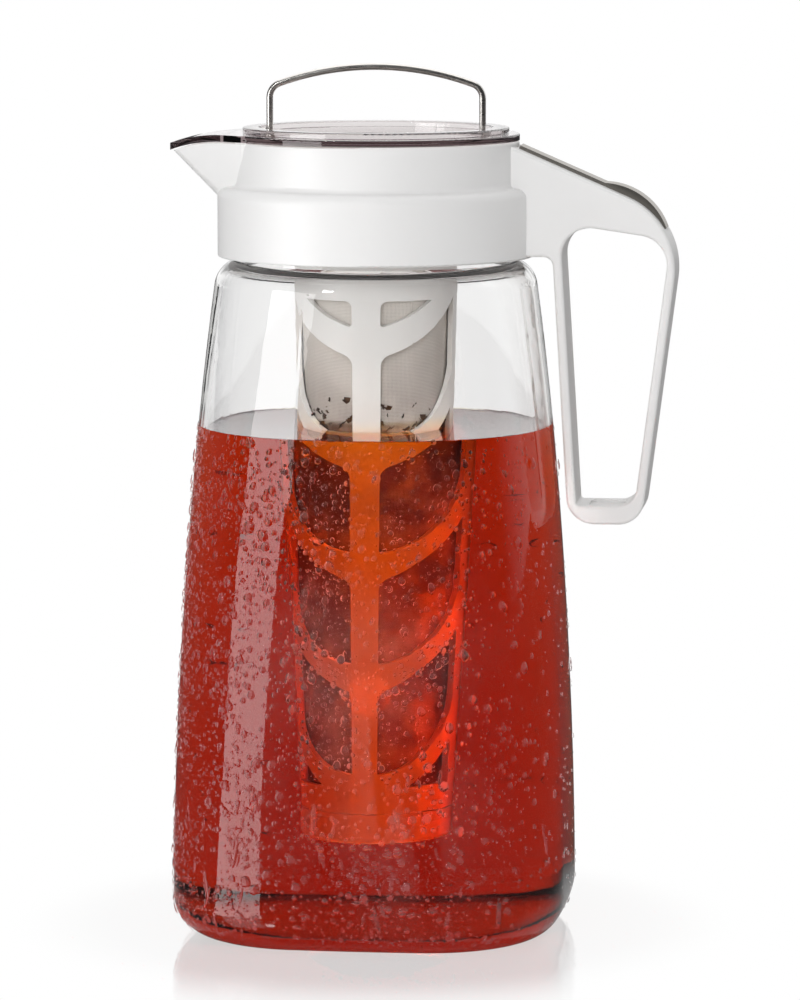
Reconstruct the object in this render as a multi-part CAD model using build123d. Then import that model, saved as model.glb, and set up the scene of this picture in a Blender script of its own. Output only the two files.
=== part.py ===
from build123d import *
import math
import os

# Iced tea maker: a clear jug with a white collar that carries the spout and the handle, a tinted
# lid with a wire bail, and a leaf-ribbed infuser that hangs from the lid on a bayonet.
# Millimetres, +Z up. The origin is on the jug's axis at the face it stands on. The spout points
# to -X, the handle to +X and the front is -Y.

# ---------------------------------------------------------------- jug
JUG_BASE_HALF = 60.0           # half the width between the sides, at the foot
JUG_TOP_HALF = 49.0            # radius where the tapered body ends in a circle
JUG_BODY_HEIGHT = 196.3        # foot to the end of the tapered body
JUG_TAPER_POWER = 2.35         # the body draws in faster and faster towards the top
JUG_FLAT_SHARE = 0.337         # half the chord of a side's arc, as a share of the half width
JUG_BASE_CROWN = 2.5           # degrees that half of a side turns at the foot, where it is flattest
JUG_CROWN_POWER = 1.5          # how late the sides turn round on the way up
JUG_BASE_ROUND = 12.0
JUG_WALL = 2.5
JUG_FLOOR = 3.0
JUG_SECTIONS = 8               # sections that the body is lofted through
SHOULDER_RISE = 7.2            # end of the body to the foot of the neck
NECK_RADIUS = 43.4
NECK_WALL = 2.4
NECK_RISE = 24.2               # end of the body to the rim of the neck

# ---------------------------------------------------------------- neck gasket
GASKET_THICK = 1.6
GASKET_INSET = 0.1             # the washer stops this far inside the collar's bore

# ---------------------------------------------------------------- collar, spout and handle
COLLAR_NECK_CLEARANCE = 0.4    # radial, round the neck
COLLAR_BAND_WALL = 4.2         # the lower band holds the screw thread
COLLAR_FOOT_GAP = 1.3          # above the foot of the neck
COLLAR_HEIGHT = 34.9
COLLAR_BAND_HEIGHT = 21.2      # foot to the shelf
COLLAR_UPPER_WALL = 2.1
SHELF_FILLET = 1.5
COLLAR_EDGE = 0.6
LID_PASS_CLEARANCE = 0.4       # radial, the collar's upper bore past the lid's seal

SPOUT_ROOT_DROP = 3.5          # below the shelf, where the ramp leaves the band
SPOUT_LOW_TIP_RADIUS = 14.0    # roundness of the beak where it leaves the band
SPOUT_LOW_HALF = 16.0          # half width at its root, at that height
SPOUT_HIGH_TIP_RADIUS = 6.0    # roundness at the top of the collar
SPOUT_HIGH_HALF = 23.5
SPOUT_ROOT_REACH = 37.8        # where the beak's sides meet the collar
SPOUT_WALL = 2.2
SPOUT_FLOOR = 2.0              # the trough starts this far above the collar's inner ledge

HANDLE_DEPTH = 22.0            # front to back
HANDLE_BAR = 2.8
HANDLE_FOOT_BAR = 5.5
HANDLE_TOP_SLOPE = 23.4        # degrees below level
HANDLE_TOP_DROP = 1.7          # below the collar's top, where the top face leaves the collar
HANDLE_OUTER_LEAN = 7.4        # degrees from upright
HANDLE_INNER_LEAN = 3.5
HANDLE_DROP = 79.9             # the handle's lowest face below the collar's foot
HANDLE_GAUGE_RISE = 11.1       # height above that face at which the next two are measured
HANDLE_JUG_GAP = 0.6           # between the inner bar and the widest corner of the jug there
HANDLE_FOOT_SPAN = 24.3        # inner face to outer face there
HANDLE_WEB_RISE = 0.7          # the web's lower face above the collar's foot
HANDLE_HOLE_KNUCKLE_DROP = 5.39   # hole's upper outer corner, below the knuckle's corner
HANDLE_HOLE_TOP_RISE = 10.9    # hole's top at the inner bar, above the collar's foot
HANDLE_KNUCKLE_ROUND = 24.0
HANDLE_TOE_ROUND = 8.0
HANDLE_HEEL_ROUND = 8.5
HANDLE_WEB_ROUND = 3.0
HANDLE_HOLE_ROUNDS = (8.5, 9.0, 6.0, 1.0)   # upper inner, upper outer, lower outer, lower inner
HANDLE_EDGE = 1.0
TOE_RECESS = (11.0, 14.0, 0.8)              # length, width and depth of the dish in the foot bar
TOE_RECESS_ROUND = 2.75

# ---------------------------------------------------------------- thumb strip
STRIP_WIDTH = 10.0
STRIP_THICK = 1.0
STRIP_START_GAP = 0.5          # from the collar's upper wall
STRIP_BUMP = 2.1               # thickness at the top of the thumb rest
STRIP_BUMP_START = 26.6        # along X from the collar to the thumb rest
STRIP_CREST_TURN = 8.0         # degrees that the crest of the rest lies behind its middle
STRIP_END_ANGLE = 31.0         # degrees above level, round the knuckle's centre
STRIP_END_THICK = 0.5

# ---------------------------------------------------------------- lid and its seal
LID_SEAT_GAP = 0.2             # between the collar's top and the lid's plate
LID_OVERHANG = 0.1             # past the collar's upper wall
LID_PLATE = 2.0
LID_EDGE = 0.5
LID_BEAK_OVERHANG = 1.1        # past the spout's rim
LID_BEAK_ARC = 55.0            # radius of the beak's downward curve
LID_BEAK_SWEEP = 45.0          # degrees that the curve turns down, past the beak's tip
LID_BEAK_GAP = 0.45            # between the beak and the spout's rim
LID_BEAK_START = 44.0          # from the axis to where the beak starts to curve down
RING_OUTER = 40.3
RING_INNER = 35.0
RING_HEIGHT = 1.9
SKIRT_RADIUS = 39.4
SKIRT_WALL = 1.8
SKIRT_DEPTH = 28.9
BOSS_RADIUS = 21.2
BOSS_WALL = 1.8
BOSS_DEPTH = 17.9
SEAL_BORE_CLEARANCE = 0.1      # radial, in the bore of the neck
SEAL_GROOVE_DEPTH = 0.7
SEAL_GROOVE_CLEARANCE = 0.05
SEAL_HEIGHT = 4.0
SEAL_RISE = 3.0                # above the skirt's lower edge

# ---------------------------------------------------------------- bail
WIRE_DIAMETER = 2.0
BAIL_HALF_SPAN = 32.4          # axis to the centre of a leg
BAIL_PIVOT_RISE = 0.3          # the pivot's centre above the lid's plate
BAIL_HEIGHT = 19.7             # pivot to the centre of the wire at the crown
BAIL_CROWN_ARC = 87.0
BAIL_CORNER_ROUND = 4.5
BAIL_FOOT_ROUND = 1.6
BAIL_FOOT_REACH = 5.4          # centre of a leg to the end of its foot
BAIL_HOLE_CLEARANCE = 0.15     # radial
BAIL_HOLE_END_GAP = 0.4
WELL_LENGTH = 6.4
WELL_WIDTH = 7.0
WELL_DEPTH = 1.1
WELL_ROUND = 1.0

# ---------------------------------------------------------------- infuser
INFUSER_LID_GAP = 0.3
INFUSER_LENGTH = 201.3
INFUSER_TOP_RADIUS = 24.6
INFUSER_FOOT_RADIUS = 20.4
INFUSER_WALL = 1.8
BAND_DEPTH = 46.8              # plain band below the lid
SPINE_HALF_ANGLE = 10.2        # front and back spines
SIDE_SPINE_HALF_ANGLE = 12.0
RIB_COUNT = 5
RIB_HEIGHT = 9.0
FIRST_RIB_DROP = 13.1          # band to the centre of the first pair of ribs
LAST_RIB_RISE = 7.0            # foot to the centre of the last pair
RIB_LOWER_RISE = 18.0          # how far a rib's lower edge climbs on its way to the side spine
RIB_LOWER_POWER = 1.65
RIB_UPPER_RISE = 21.3
RIB_UPPER_POWER = 2.7
WINDOW_CROTCH_ROUND = 3.7      # where a rib's lower edge leaves the spine
WINDOW_FOOT_ROUND = 0.8
WINDOW_BAND_ROUND = 2.0
WINDOW_LEAST = 0.01            # a side shorter than this is a point
CUP_DEPTH = 7.7                # foot to the rim of the lower cup
LUG_COUNT = 3
LUG_ANGLE = 40.0               # width of a lug round the boss
LUG_HEIGHT = 2.0
LUG_CLEARANCE = 0.4            # radial, inside the infuser's band
LEDGE_ANGLE = 60.0             # width of a ledge in the band
LEDGE_REACH = 1.3
LEDGE_HEIGHT = 1.5
LEDGE_DROP = 10.6              # lid plate to the underside of a ledge
LUG_SEAT_GAP = 0.3
STOP_ANGLE = 6.0               # width of the stop beside each ledge
STOP_GAP_ANGLE = 2.5           # between a lug and its stop

MESH_THICK = 0.4
MESH_FRAME_GAP = 0.3
MESH_TOP_DROP = 13.6           # below the frame's upper edge
MESH_FOOT_RISE = 5.2           # above the frame's foot

CAP_SEAM = 0.4
CAP_HEIGHT = 9.0
CAP_EDGE_ROUND = 2.0
CAP_FLOOR = 1.8
CAP_SPIGOT = 5.0
CAP_SPIGOT_WALL = 1.6
CAP_CLEARANCE = 0.1            # radial, spigot in the cup
NOTCH_WIDTH = 7.0
NOTCH_HEIGHT = 1.2
NOTCH_DEPTH = 1.0
NOTCH_ANGLE = 41.0             # from the front spine

# ---------------------------------------------------------------- levels and radii that follow
NECK_FOOT_Z = JUG_BODY_HEIGHT + SHOULDER_RISE
NECK_RIM_Z = JUG_BODY_HEIGHT + NECK_RISE
NECK_BORE = NECK_RADIUS - NECK_WALL
COLLAR_FOOT_Z = NECK_FOOT_Z + COLLAR_FOOT_GAP
COLLAR_TOP_Z = COLLAR_FOOT_Z + COLLAR_HEIGHT
COLLAR_BORE = NECK_RADIUS + COLLAR_NECK_CLEARANCE
COLLAR_BAND_RADIUS = COLLAR_BORE + COLLAR_BAND_WALL
LEDGE_Z = NECK_RIM_Z + GASKET_THICK
SEAL_RADIUS = NECK_BORE - SEAL_BORE_CLEARANCE
UPPER_BORE = SEAL_RADIUS + LID_PASS_CLEARANCE
UPPER_RADIUS = UPPER_BORE + COLLAR_UPPER_WALL
HANDLE_TOP = (UPPER_RADIUS, COLLAR_TOP_Z - HANDLE_TOP_DROP)
SHELF_Z = COLLAR_FOOT_Z + COLLAR_BAND_HEIGHT
SPOUT_ROOT_Z = SHELF_Z - SPOUT_ROOT_DROP
PLATE_Z = COLLAR_TOP_Z + LID_SEAT_GAP
PLATE_TOP_Z = PLATE_Z + LID_PLATE
PIVOT_Z = PLATE_TOP_Z + BAIL_PIVOT_RISE
INFUSER_TOP_Z = PLATE_Z - INFUSER_LID_GAP
INFUSER_FOOT_Z = INFUSER_TOP_Z - INFUSER_LENGTH
BAND_Z = INFUSER_TOP_Z - BAND_DEPTH
FIRST_RIB_Z = BAND_Z - FIRST_RIB_DROP
LAST_RIB_Z = INFUSER_FOOT_Z + LAST_RIB_RISE
RIB_PITCH = (FIRST_RIB_Z - LAST_RIB_Z) / (RIB_COUNT - 1)
CUP_RIM_Z = INFUSER_FOOT_Z + CUP_DEPTH
SIDE_EDGE_ANGLE = 90.0 - SIDE_SPINE_HALF_ANGLE
PAST = 1.0                     # how far a cutting shape runs past the face it cuts


# ---------------------------------------------------------------- small helpers
def spun(*corners):
    """Solid of revolution about the jug's axis from the corners (radius, height) of its profile."""
    return revolve(Plane.XZ * make_face(Polyline(*corners, close=True)), axis=Axis.Z)


def round_corner(face, corner, radius):
    """Flat face with the corner nearest to a point rounded."""
    nearest = face.vertices().sort_by_distance(Vector(*corner, 0))[0]
    return fillet(nearest, radius)


def crossing(point_a, angle_a, point_b, angle_b):
    """Point where two lines meet, each given by a point and its angle in degrees."""
    ax, az = point_a
    bx, bz = point_b
    ca, sa = math.cos(math.radians(angle_a)), math.sin(math.radians(angle_a))
    cb, sb = math.cos(math.radians(angle_b)), math.sin(math.radians(angle_b))
    along = ((bx - ax) * sb - (bz - az) * cb) / (ca * sb - sa * cb)
    return (ax + along * ca, az + along * sa)


def shifted(point, angle, distance):
    """Point moved by a distance along an angle in degrees."""
    turn = math.radians(angle)
    return (point[0] + distance * math.cos(turn), point[1] + distance * math.sin(turn))


def wedge(inner, outer, low, high, centre, width):
    """Block between two radii and two heights, of a width in degrees about a centre angle."""
    ring = spun((inner, low), (outer, low), (outer, high), (inner, high))
    reach = 2 * outer  # well past the ring, so that the sector's straight ends lie outside it
    left = shifted((0, 0), centre - width / 2, reach)
    middle = shifted((0, 0), centre, reach)
    right = shifted((0, 0), centre + width / 2, reach)
    sector = make_face(Polyline((0, 0), left, middle, right, close=True))
    return ring & extrude(Pos(0, 0, low) * sector, high - low)


# ---------------------------------------------------------------- jug
def jug_half_width(z):
    """Half the width between the jug's sides at a height."""
    return JUG_BASE_HALF - (JUG_BASE_HALF - JUG_TOP_HALF) * (z / JUG_BODY_HEIGHT) ** JUG_TAPER_POWER


def jug_crown(z):
    """Radians that half of a side turns at a height. At the top all eight arcs are one circle."""
    full = math.asin(JUG_FLAT_SHARE)
    least = math.radians(JUG_BASE_CROWN)
    rise = max(0.0, z - JUG_BASE_ROUND) / (JUG_BODY_HEIGHT - JUG_BASE_ROUND)
    return least + (full - least) * rise ** JUG_CROWN_POWER


def jug_arcs(z):
    """Radius of a side, and radius and centre of a corner, at a height."""
    half, crown = jug_half_width(z), jug_crown(z)
    chord = JUG_FLAT_SHARE * half
    side = chord / math.sin(crown)
    sag = side * (1 - math.cos(crown))
    corner = (half - sag - chord) / (math.cos(crown) - math.sin(crown))
    return side, corner, half - sag - corner * math.cos(crown)


def jug_corner_reach(z):
    """Distance from the axis to the jug's widest point at a height."""
    side, corner, centre = jug_arcs(z)
    return centre * math.sqrt(2) + corner


def jug_section(z, inset):
    """Flat section of the jug at a height: four crowned sides and four round corners, inset by a wall."""
    half, crown = jug_half_width(z), jug_crown(z)
    side, corner, centre = jug_arcs(z)
    side_centre = half - side
    side, corner = side - inset, corner - inset
    side_end = (side_centre + side * math.cos(crown), side * math.sin(crown))
    side_start = (side_end[0], -side_end[1])
    diagonal = centre + corner / math.sqrt(2)
    side_arc = ThreePointArc(side_start, (half - inset, 0), side_end)
    corner_arc = ThreePointArc(side_end, (diagonal, diagonal), (side_end[1], side_end[0]))
    arcs = [arc.rotate(Axis.Z, 90 * turn) for turn in range(4) for arc in (side_arc, corner_arc)]
    return Pos(0, 0, z) * make_face(arcs)


def jug_body(inset, floor, base_round):
    """Tapered body of the jug, or its hollow, with the foot rounded."""
    levels = [floor + (JUG_BODY_HEIGHT - floor) * n / (JUG_SECTIONS - 1) for n in range(JUG_SECTIONS)]
    body = loft([jug_section(z, inset) for z in levels])
    foot = body.faces().sort_by(Axis.Z)[0]
    return fillet(foot.edges(), base_round)


def jug_top(inset, rim):
    """Shoulder and neck above the body, or the hollow in them, up to a rim."""
    start = (JUG_TOP_HALF - inset, JUG_BODY_HEIGHT)
    neck = (NECK_RADIUS if inset == 0 else NECK_BORE, NECK_FOOT_Z - inset)
    slope = JUG_TAPER_POWER * (JUG_BASE_HALF - JUG_TOP_HALF) / JUG_BODY_HEIGHT
    shoulder = TangentArc(start, neck, tangent=(-slope, 1))
    rest = Polyline(neck, (neck[0], rim), (0, rim), (0, JUG_BODY_HEIGHT), start)
    return revolve(Plane.XZ * make_face([shoulder, *rest.edges()]), axis=Axis.Z)


def make_jug():
    """Clear jug: squarish foot, round shoulder and a plain neck."""
    outside = jug_body(0, 0, JUG_BASE_ROUND) + jug_top(0, NECK_RIM_Z)
    hollow = jug_body(JUG_WALL, JUG_FLOOR, JUG_BASE_ROUND - JUG_WALL) + jug_top(JUG_WALL, NECK_RIM_Z + PAST)
    return outside - hollow


def make_neck_gasket():
    """Washer between the rim of the neck and the ledge inside the collar."""
    outer = COLLAR_BORE - GASKET_INSET
    return spun((UPPER_BORE, NECK_RIM_Z), (outer, NECK_RIM_Z), (outer, LEDGE_Z), (UPPER_BORE, LEDGE_Z))


# ---------------------------------------------------------------- collar, spout and handle
def beak_outline(tip, tip_radius, root_half):
    """Plan of the beak: two straight sides from its root, drawn to a round tip that points to -X."""
    centre = (tip_radius - tip, 0)
    root = (-SPOUT_ROOT_REACH, root_half)
    away = math.dist(root, centre)
    bearing = math.degrees(math.atan2(root[1] - centre[1], root[0] - centre[0]))
    touch = shifted(centre, bearing + math.degrees(math.acos(tip_radius / away)), tip_radius)
    tail = (0, root_half)
    sides = Polyline(touch, root, tail, (tail[0], -tail[1]), (root[0], -root[1]), (touch[0], -touch[1]))
    tip_arc = ThreePointArc(touch, (-tip, 0), (touch[0], -touch[1]))
    return make_face([*sides.edges(), tip_arc])


def beak_at(z, wall):
    """Plan of the spout at a height, drawn in by a wall. The ramp under it climbs at 45 degrees."""
    climb = (z - SPOUT_ROOT_Z) / (COLLAR_TOP_Z - SPOUT_ROOT_Z)
    tip = COLLAR_BAND_RADIUS + z - SPOUT_ROOT_Z - wall * math.sqrt(2)
    tip_radius = SPOUT_LOW_TIP_RADIUS + (SPOUT_HIGH_TIP_RADIUS - SPOUT_LOW_TIP_RADIUS) * climb
    root_half = SPOUT_LOW_HALF + (SPOUT_HIGH_HALF - SPOUT_LOW_HALF) * climb
    return Pos(0, 0, z) * beak_outline(tip, tip_radius - wall, root_half - wall)


def spout_body():
    """Beak outside, from the band to the top of the collar."""
    return loft([beak_at(SPOUT_ROOT_Z, 0), beak_at(COLLAR_TOP_Z, 0)], ruled=True)


def spout_trough():
    """Space inside the beak that the tea runs along, open to the bore above the ledge."""
    return loft([beak_at(LEDGE_Z + SPOUT_FLOOR, SPOUT_WALL), beak_at(COLLAR_TOP_Z, SPOUT_WALL)], ruled=True)


def beak_drop(drop):
    """Space above the beak's curve, lowered by a distance from the top of the lid's plate."""
    radius = LID_BEAK_ARC - drop
    centre = (-LID_BEAK_START, PLATE_TOP_Z - LID_BEAK_ARC)
    level = (centre[0], centre[1] + radius)
    middle = shifted(centre, 90 + LID_BEAK_SWEEP / 2, radius)
    end = shifted(centre, 90 + LID_BEAK_SWEEP, radius)
    high = PLATE_TOP_Z + PAST
    curve = ThreePointArc(level, middle, end)
    rest = Polyline(end, (end[0], high), (0, high), (0, level[1]), level)
    return extrude(Plane.XZ * make_face([curve, *rest.edges()]), 2 * SPOUT_HIGH_HALF, both=True)


def collar_shell():
    """Outside of the collar: the lower band, the shelf and the upper wall, still without a bore."""
    band_round = COLLAR_BAND_RADIUS - UPPER_RADIUS - SHELF_FILLET
    shelf_start = (UPPER_RADIUS + SHELF_FILLET, SHELF_Z)
    band_end = (COLLAR_BAND_RADIUS, SHELF_Z - band_round)
    upper_start = (UPPER_RADIUS, SHELF_Z + SHELF_FILLET)
    half = math.sqrt(0.5)
    band_middle = (shelf_start[0] + band_round * half, band_end[1] + band_round * half)
    fillet_middle = (shelf_start[0] - SHELF_FILLET * half, upper_start[1] - SHELF_FILLET * half)
    lower = Polyline((0, COLLAR_FOOT_Z), (COLLAR_BAND_RADIUS, COLLAR_FOOT_Z), band_end)
    shelf_round = ThreePointArc(band_end, band_middle, shelf_start)
    shelf_fillet = ThreePointArc(shelf_start, fillet_middle, upper_start)
    upper = Polyline(upper_start, (UPPER_RADIUS, COLLAR_TOP_Z), (0, COLLAR_TOP_Z), (0, COLLAR_FOOT_Z))
    profile = make_face([*lower.edges(), shelf_round, shelf_fillet, *upper.edges()])
    profile = round_corner(profile, (COLLAR_BAND_RADIUS, COLLAR_FOOT_Z), COLLAR_EDGE)
    profile = round_corner(profile, (UPPER_RADIUS, COLLAR_TOP_Z), COLLAR_EDGE)
    return revolve(Plane.XZ * profile, axis=Axis.Z)


def collar_bore():
    """Bore of the collar: wide round the neck, then narrower above the ledge on the gasket."""
    low, high = COLLAR_FOOT_Z - PAST, COLLAR_TOP_Z + HANDLE_DEPTH
    return spun((0, low), (COLLAR_BORE, low), (COLLAR_BORE, LEDGE_Z), (UPPER_BORE, LEDGE_Z),
                (UPPER_BORE, high), (0, high))


def handle_gauge():
    """Points on the handle's inner and outer faces at the height where it is measured."""
    z = COLLAR_FOOT_Z - HANDLE_DROP + HANDLE_GAUGE_RISE
    x = jug_corner_reach(z) + HANDLE_JUG_GAP
    return (x, z), (x + HANDLE_FOOT_SPAN, z)


def knuckle_centre():
    """Centre of the large round where the handle's top turns down into the grip."""
    top = shifted(HANDLE_TOP, -90 - HANDLE_TOP_SLOPE, HANDLE_KNUCKLE_ROUND)
    grip = shifted(handle_gauge()[1], 180 - HANDLE_OUTER_LEAN, HANDLE_KNUCKLE_ROUND)
    return crossing(top, -HANDLE_TOP_SLOPE, grip, 90 - HANDLE_OUTER_LEAN)


def knuckle_corner():
    """Corner that the knuckle's round cuts off, where the lines of the top and the grip meet."""
    return crossing(HANDLE_TOP, -HANDLE_TOP_SLOPE, handle_gauge()[1], 90 - HANDLE_OUTER_LEAN)


def handle_outline():
    """Side view of the handle from inside the collar round to the bar beside the jug."""
    inner, outer = handle_gauge()
    foot, web = (0, COLLAR_FOOT_Z - HANDLE_DROP), (0, COLLAR_FOOT_Z + HANDLE_WEB_RISE)
    inner_angle, outer_angle = 90 + HANDLE_INNER_LEAN, 90 - HANDLE_OUTER_LEAN
    hub = math.sqrt(UPPER_BORE ** 2 - (HANDLE_DEPTH / 2) ** 2) - HANDLE_EDGE - PAST
    hub_top = crossing(HANDLE_TOP, -HANDLE_TOP_SLOPE, (hub, 0), 90)
    knuckle = knuckle_corner()
    toe = crossing(foot, 0, outer, outer_angle)
    heel = crossing(foot, 0, inner, inner_angle)
    armpit = crossing(web, 0, inner, inner_angle)
    face = make_face(Polyline(hub_top, knuckle, toe, heel, armpit, (hub, web[1]), close=True))
    rounds = [(knuckle, HANDLE_KNUCKLE_ROUND), (toe, HANDLE_TOE_ROUND), (heel, HANDLE_HEEL_ROUND),
              (armpit, HANDLE_WEB_ROUND)]
    for corner, radius in rounds:
        face = round_corner(face, corner, radius)
    return face


def handle_hole():
    """Side view of the finger hole, which leaves a bar of one thickness on both sides."""
    inner, outer = handle_gauge()
    inner_face, inner_angle = shifted(inner, HANDLE_INNER_LEAN, HANDLE_BAR), 90 + HANDLE_INNER_LEAN
    outer_face, outer_angle = shifted(outer, 180 - HANDLE_OUTER_LEAN, HANDLE_BAR), 90 - HANDLE_OUTER_LEAN
    upper_inner = crossing(inner_face, inner_angle, (0, COLLAR_FOOT_Z + HANDLE_HOLE_TOP_RISE), 0)
    upper_outer = crossing((0, knuckle_corner()[1] - HANDLE_HOLE_KNUCKLE_DROP), 0, outer_face, outer_angle)
    sill = (0, COLLAR_FOOT_Z - HANDLE_DROP + HANDLE_FOOT_BAR)
    lower_outer = crossing(sill, 0, outer_face, outer_angle)
    lower_inner = crossing(sill, 0, inner_face, inner_angle)
    corners = (upper_inner, upper_outer, lower_outer, lower_inner)
    face = make_face(Polyline(*corners, close=True))
    for corner, radius in zip(corners, HANDLE_HOLE_ROUNDS):
        face = round_corner(face, corner, radius)
    return face


def toe_recess():
    """Shallow dish in the top of the bar under the fingers."""
    length, width, depth = TOE_RECESS
    inner, outer = handle_gauge()
    sill = COLLAR_FOOT_Z - HANDLE_DROP + HANDLE_FOOT_BAR
    dish = Pos((inner[0] + outer[0]) / 2, 0, sill) * Box(length, width, 2 * depth)
    return fillet(dish.edges().filter_by(Axis.Z), TOE_RECESS_ROUND)


def handle_body():
    """Handle: a flat frame, rounded along its edges, with the finger hole through it."""
    half = HANDLE_DEPTH / 2
    frame = extrude(Plane.XZ * handle_outline(), half, both=True)
    frame -= extrude(Plane.XZ * handle_hole(), half + PAST, both=True)
    sides = frame.faces().filter_by(Axis.Y)
    hole_edges = [edge for side in sides for wire in side.inner_wires() for edge in wire.edges()]
    frame = fillet(frame.edges().filter_by(lambda edge: edge in hole_edges), HANDLE_EDGE)
    sides = frame.faces().filter_by(Axis.Y)
    outline_edges = [edge for side in sides for edge in side.outer_wire().edges()]
    frame = fillet(frame.edges().filter_by(lambda edge: edge in outline_edges), HANDLE_EDGE)
    return frame - toe_recess()


def make_collar():
    """Collar, spout and handle in one moulding, with the lid's beak sunk into the spout's rim."""
    collar = collar_shell() + spout_body() + handle_body()
    collar -= collar_bore()
    collar -= spout_trough()
    return collar - beak_drop(LID_PLATE + LID_BEAK_GAP)


def make_thumb_strip():
    """Metal strip along the top of the handle, thicker where the thumb rests."""
    centre, radius = knuckle_centre(), HANDLE_KNUCKLE_ROUND
    up = 90 - HANDLE_TOP_SLOPE
    start = crossing(HANDLE_TOP, -HANDLE_TOP_SLOPE, (UPPER_RADIUS + STRIP_START_GAP, 0), 90)
    bend = shifted(centre, up, radius)
    under_end = shifted(centre, STRIP_END_ANGLE, radius)
    under_middle = shifted(centre, (up + STRIP_END_ANGLE) / 2, radius)
    under = ThreePointArc(bend, under_middle, under_end)
    end = shifted(centre, STRIP_END_ANGLE, radius + STRIP_END_THICK)
    crest = shifted(centre, (up + STRIP_END_ANGLE) / 2 + STRIP_CREST_TURN, radius + STRIP_BUMP)
    upper = shifted(start, up, STRIP_THICK)
    step = crossing(upper, -HANDLE_TOP_SLOPE, (UPPER_RADIUS + STRIP_BUMP_START, 0), 90)
    bump = ThreePointArc(step, crest, end)
    back = Polyline(step, upper, start, bend)
    tip = Line(end, under_end)
    face = make_face([*back.edges(), under, tip, bump])
    return extrude(Plane.XZ * face, STRIP_WIDTH / 2, both=True)


# ---------------------------------------------------------------- lid, seal and bail
def lid_plate():
    """Round plate with the beak that lies over the spout."""
    radius = UPPER_RADIUS + LID_OVERHANG
    disc = Pos(0, 0, PLATE_Z) * Cylinder(radius, LID_PLATE, align=(Align.CENTER, Align.CENTER, Align.MIN))
    disc = fillet(disc.edges().sort_by(Axis.Z)[-1], LID_EDGE)
    tip = spout_rim_reach() + LID_BEAK_OVERHANG
    outline = beak_outline(tip, SPOUT_HIGH_TIP_RADIUS + LID_BEAK_OVERHANG, SPOUT_HIGH_HALF)
    column = extrude(Pos(0, 0, SPOUT_ROOT_Z) * outline, PLATE_TOP_Z + PAST - SPOUT_ROOT_Z)
    return disc + ((column & beak_drop(LID_PLATE)) - beak_drop(0))


def spout_rim_reach():
    """How far the spout reaches from the axis, where its ramp meets the curve of the rim."""
    radius = LID_BEAK_ARC - LID_PLATE - LID_BEAK_GAP
    offset = COLLAR_BAND_RADIUS - SPOUT_ROOT_Z + PLATE_TOP_Z - LID_BEAK_ARC - LID_BEAK_START
    return LID_BEAK_START + (offset + math.sqrt(2 * radius ** 2 - offset ** 2)) / 2


def seal_groove_radius():
    """Radius at the bottom of the groove that holds the seal."""
    return SKIRT_RADIUS - SEAL_GROOVE_DEPTH


def seal_levels():
    """Lower and upper face of the seal."""
    low = PLATE_Z - SKIRT_DEPTH + SEAL_RISE
    return low, low + SEAL_HEIGHT


def lid_walls():
    """Walls under and over the plate: the ring, the skirt with its groove, and the boss."""
    inside = PLATE_Z + LID_PLATE / 2
    ring_top = PLATE_TOP_Z + RING_HEIGHT
    ring = spun((RING_INNER, inside), (RING_OUTER, inside), (RING_OUTER, ring_top), (RING_INNER, ring_top))
    ring = fillet(ring.edges().group_by(Axis.Z)[-1], LID_EDGE)
    foot = PLATE_Z - SKIRT_DEPTH
    inner = SKIRT_RADIUS - SKIRT_WALL
    skirt = spun((inner, foot), (SKIRT_RADIUS, foot), (SKIRT_RADIUS, inside), (inner, inside))
    low, high = seal_levels()
    groove = seal_groove_radius()
    skirt -= spun((groove, low), (SKIRT_RADIUS + PAST, low), (SKIRT_RADIUS + PAST, high), (groove, high))
    foot = PLATE_Z - BOSS_DEPTH
    inner = BOSS_RADIUS - BOSS_WALL
    boss = spun((inner, foot), (BOSS_RADIUS, foot), (BOSS_RADIUS, inside), (inner, inside))
    return ring + skirt + boss


def lug_levels():
    """Lower and upper face of the bayonet lugs, which hang just over the infuser's ledges."""
    low = PLATE_Z - LEDGE_DROP + LEDGE_HEIGHT + LUG_SEAT_GAP
    return low, low + LUG_HEIGHT


def make_lid():
    """Tinted lid with its raised ring, skirt, bayonet boss and the wells and bores for the bail."""
    lid = lid_plate() + lid_walls()
    low, high = lug_levels()
    reach = INFUSER_TOP_RADIUS - INFUSER_WALL - LUG_CLEARANCE
    for turn in range(LUG_COUNT):
        lid += wedge(BOSS_RADIUS - BOSS_WALL / 2, reach, low, high, 360 / LUG_COUNT * turn, LUG_ANGLE)
    bore = WIRE_DIAMETER / 2 + BAIL_HOLE_CLEARANCE
    end = BAIL_HALF_SPAN + BAIL_FOOT_REACH + BAIL_HOLE_END_GAP
    for side in (-1, 1):
        well = Box(WELL_LENGTH, WELL_WIDTH, 2 * WELL_DEPTH)
        well = Pos(side * (RING_INNER - WELL_LENGTH / 2), 0, PLATE_TOP_Z) * well
        lid -= fillet(well.edges().filter_by(Axis.Z), WELL_ROUND)
        lid -= Pos(side * end / 2, 0, PIVOT_Z) * Rot(0, 90, 0) * Cylinder(bore, end)
    return lid


def make_lid_gasket():
    """Soft seal in the skirt's groove, which runs in the bore of the neck."""
    low, high = seal_levels()
    inner = seal_groove_radius() + SEAL_GROOVE_CLEARANCE
    return spun((inner, low), (SEAL_RADIUS, low), (SEAL_RADIUS, high), (inner, high))


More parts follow.
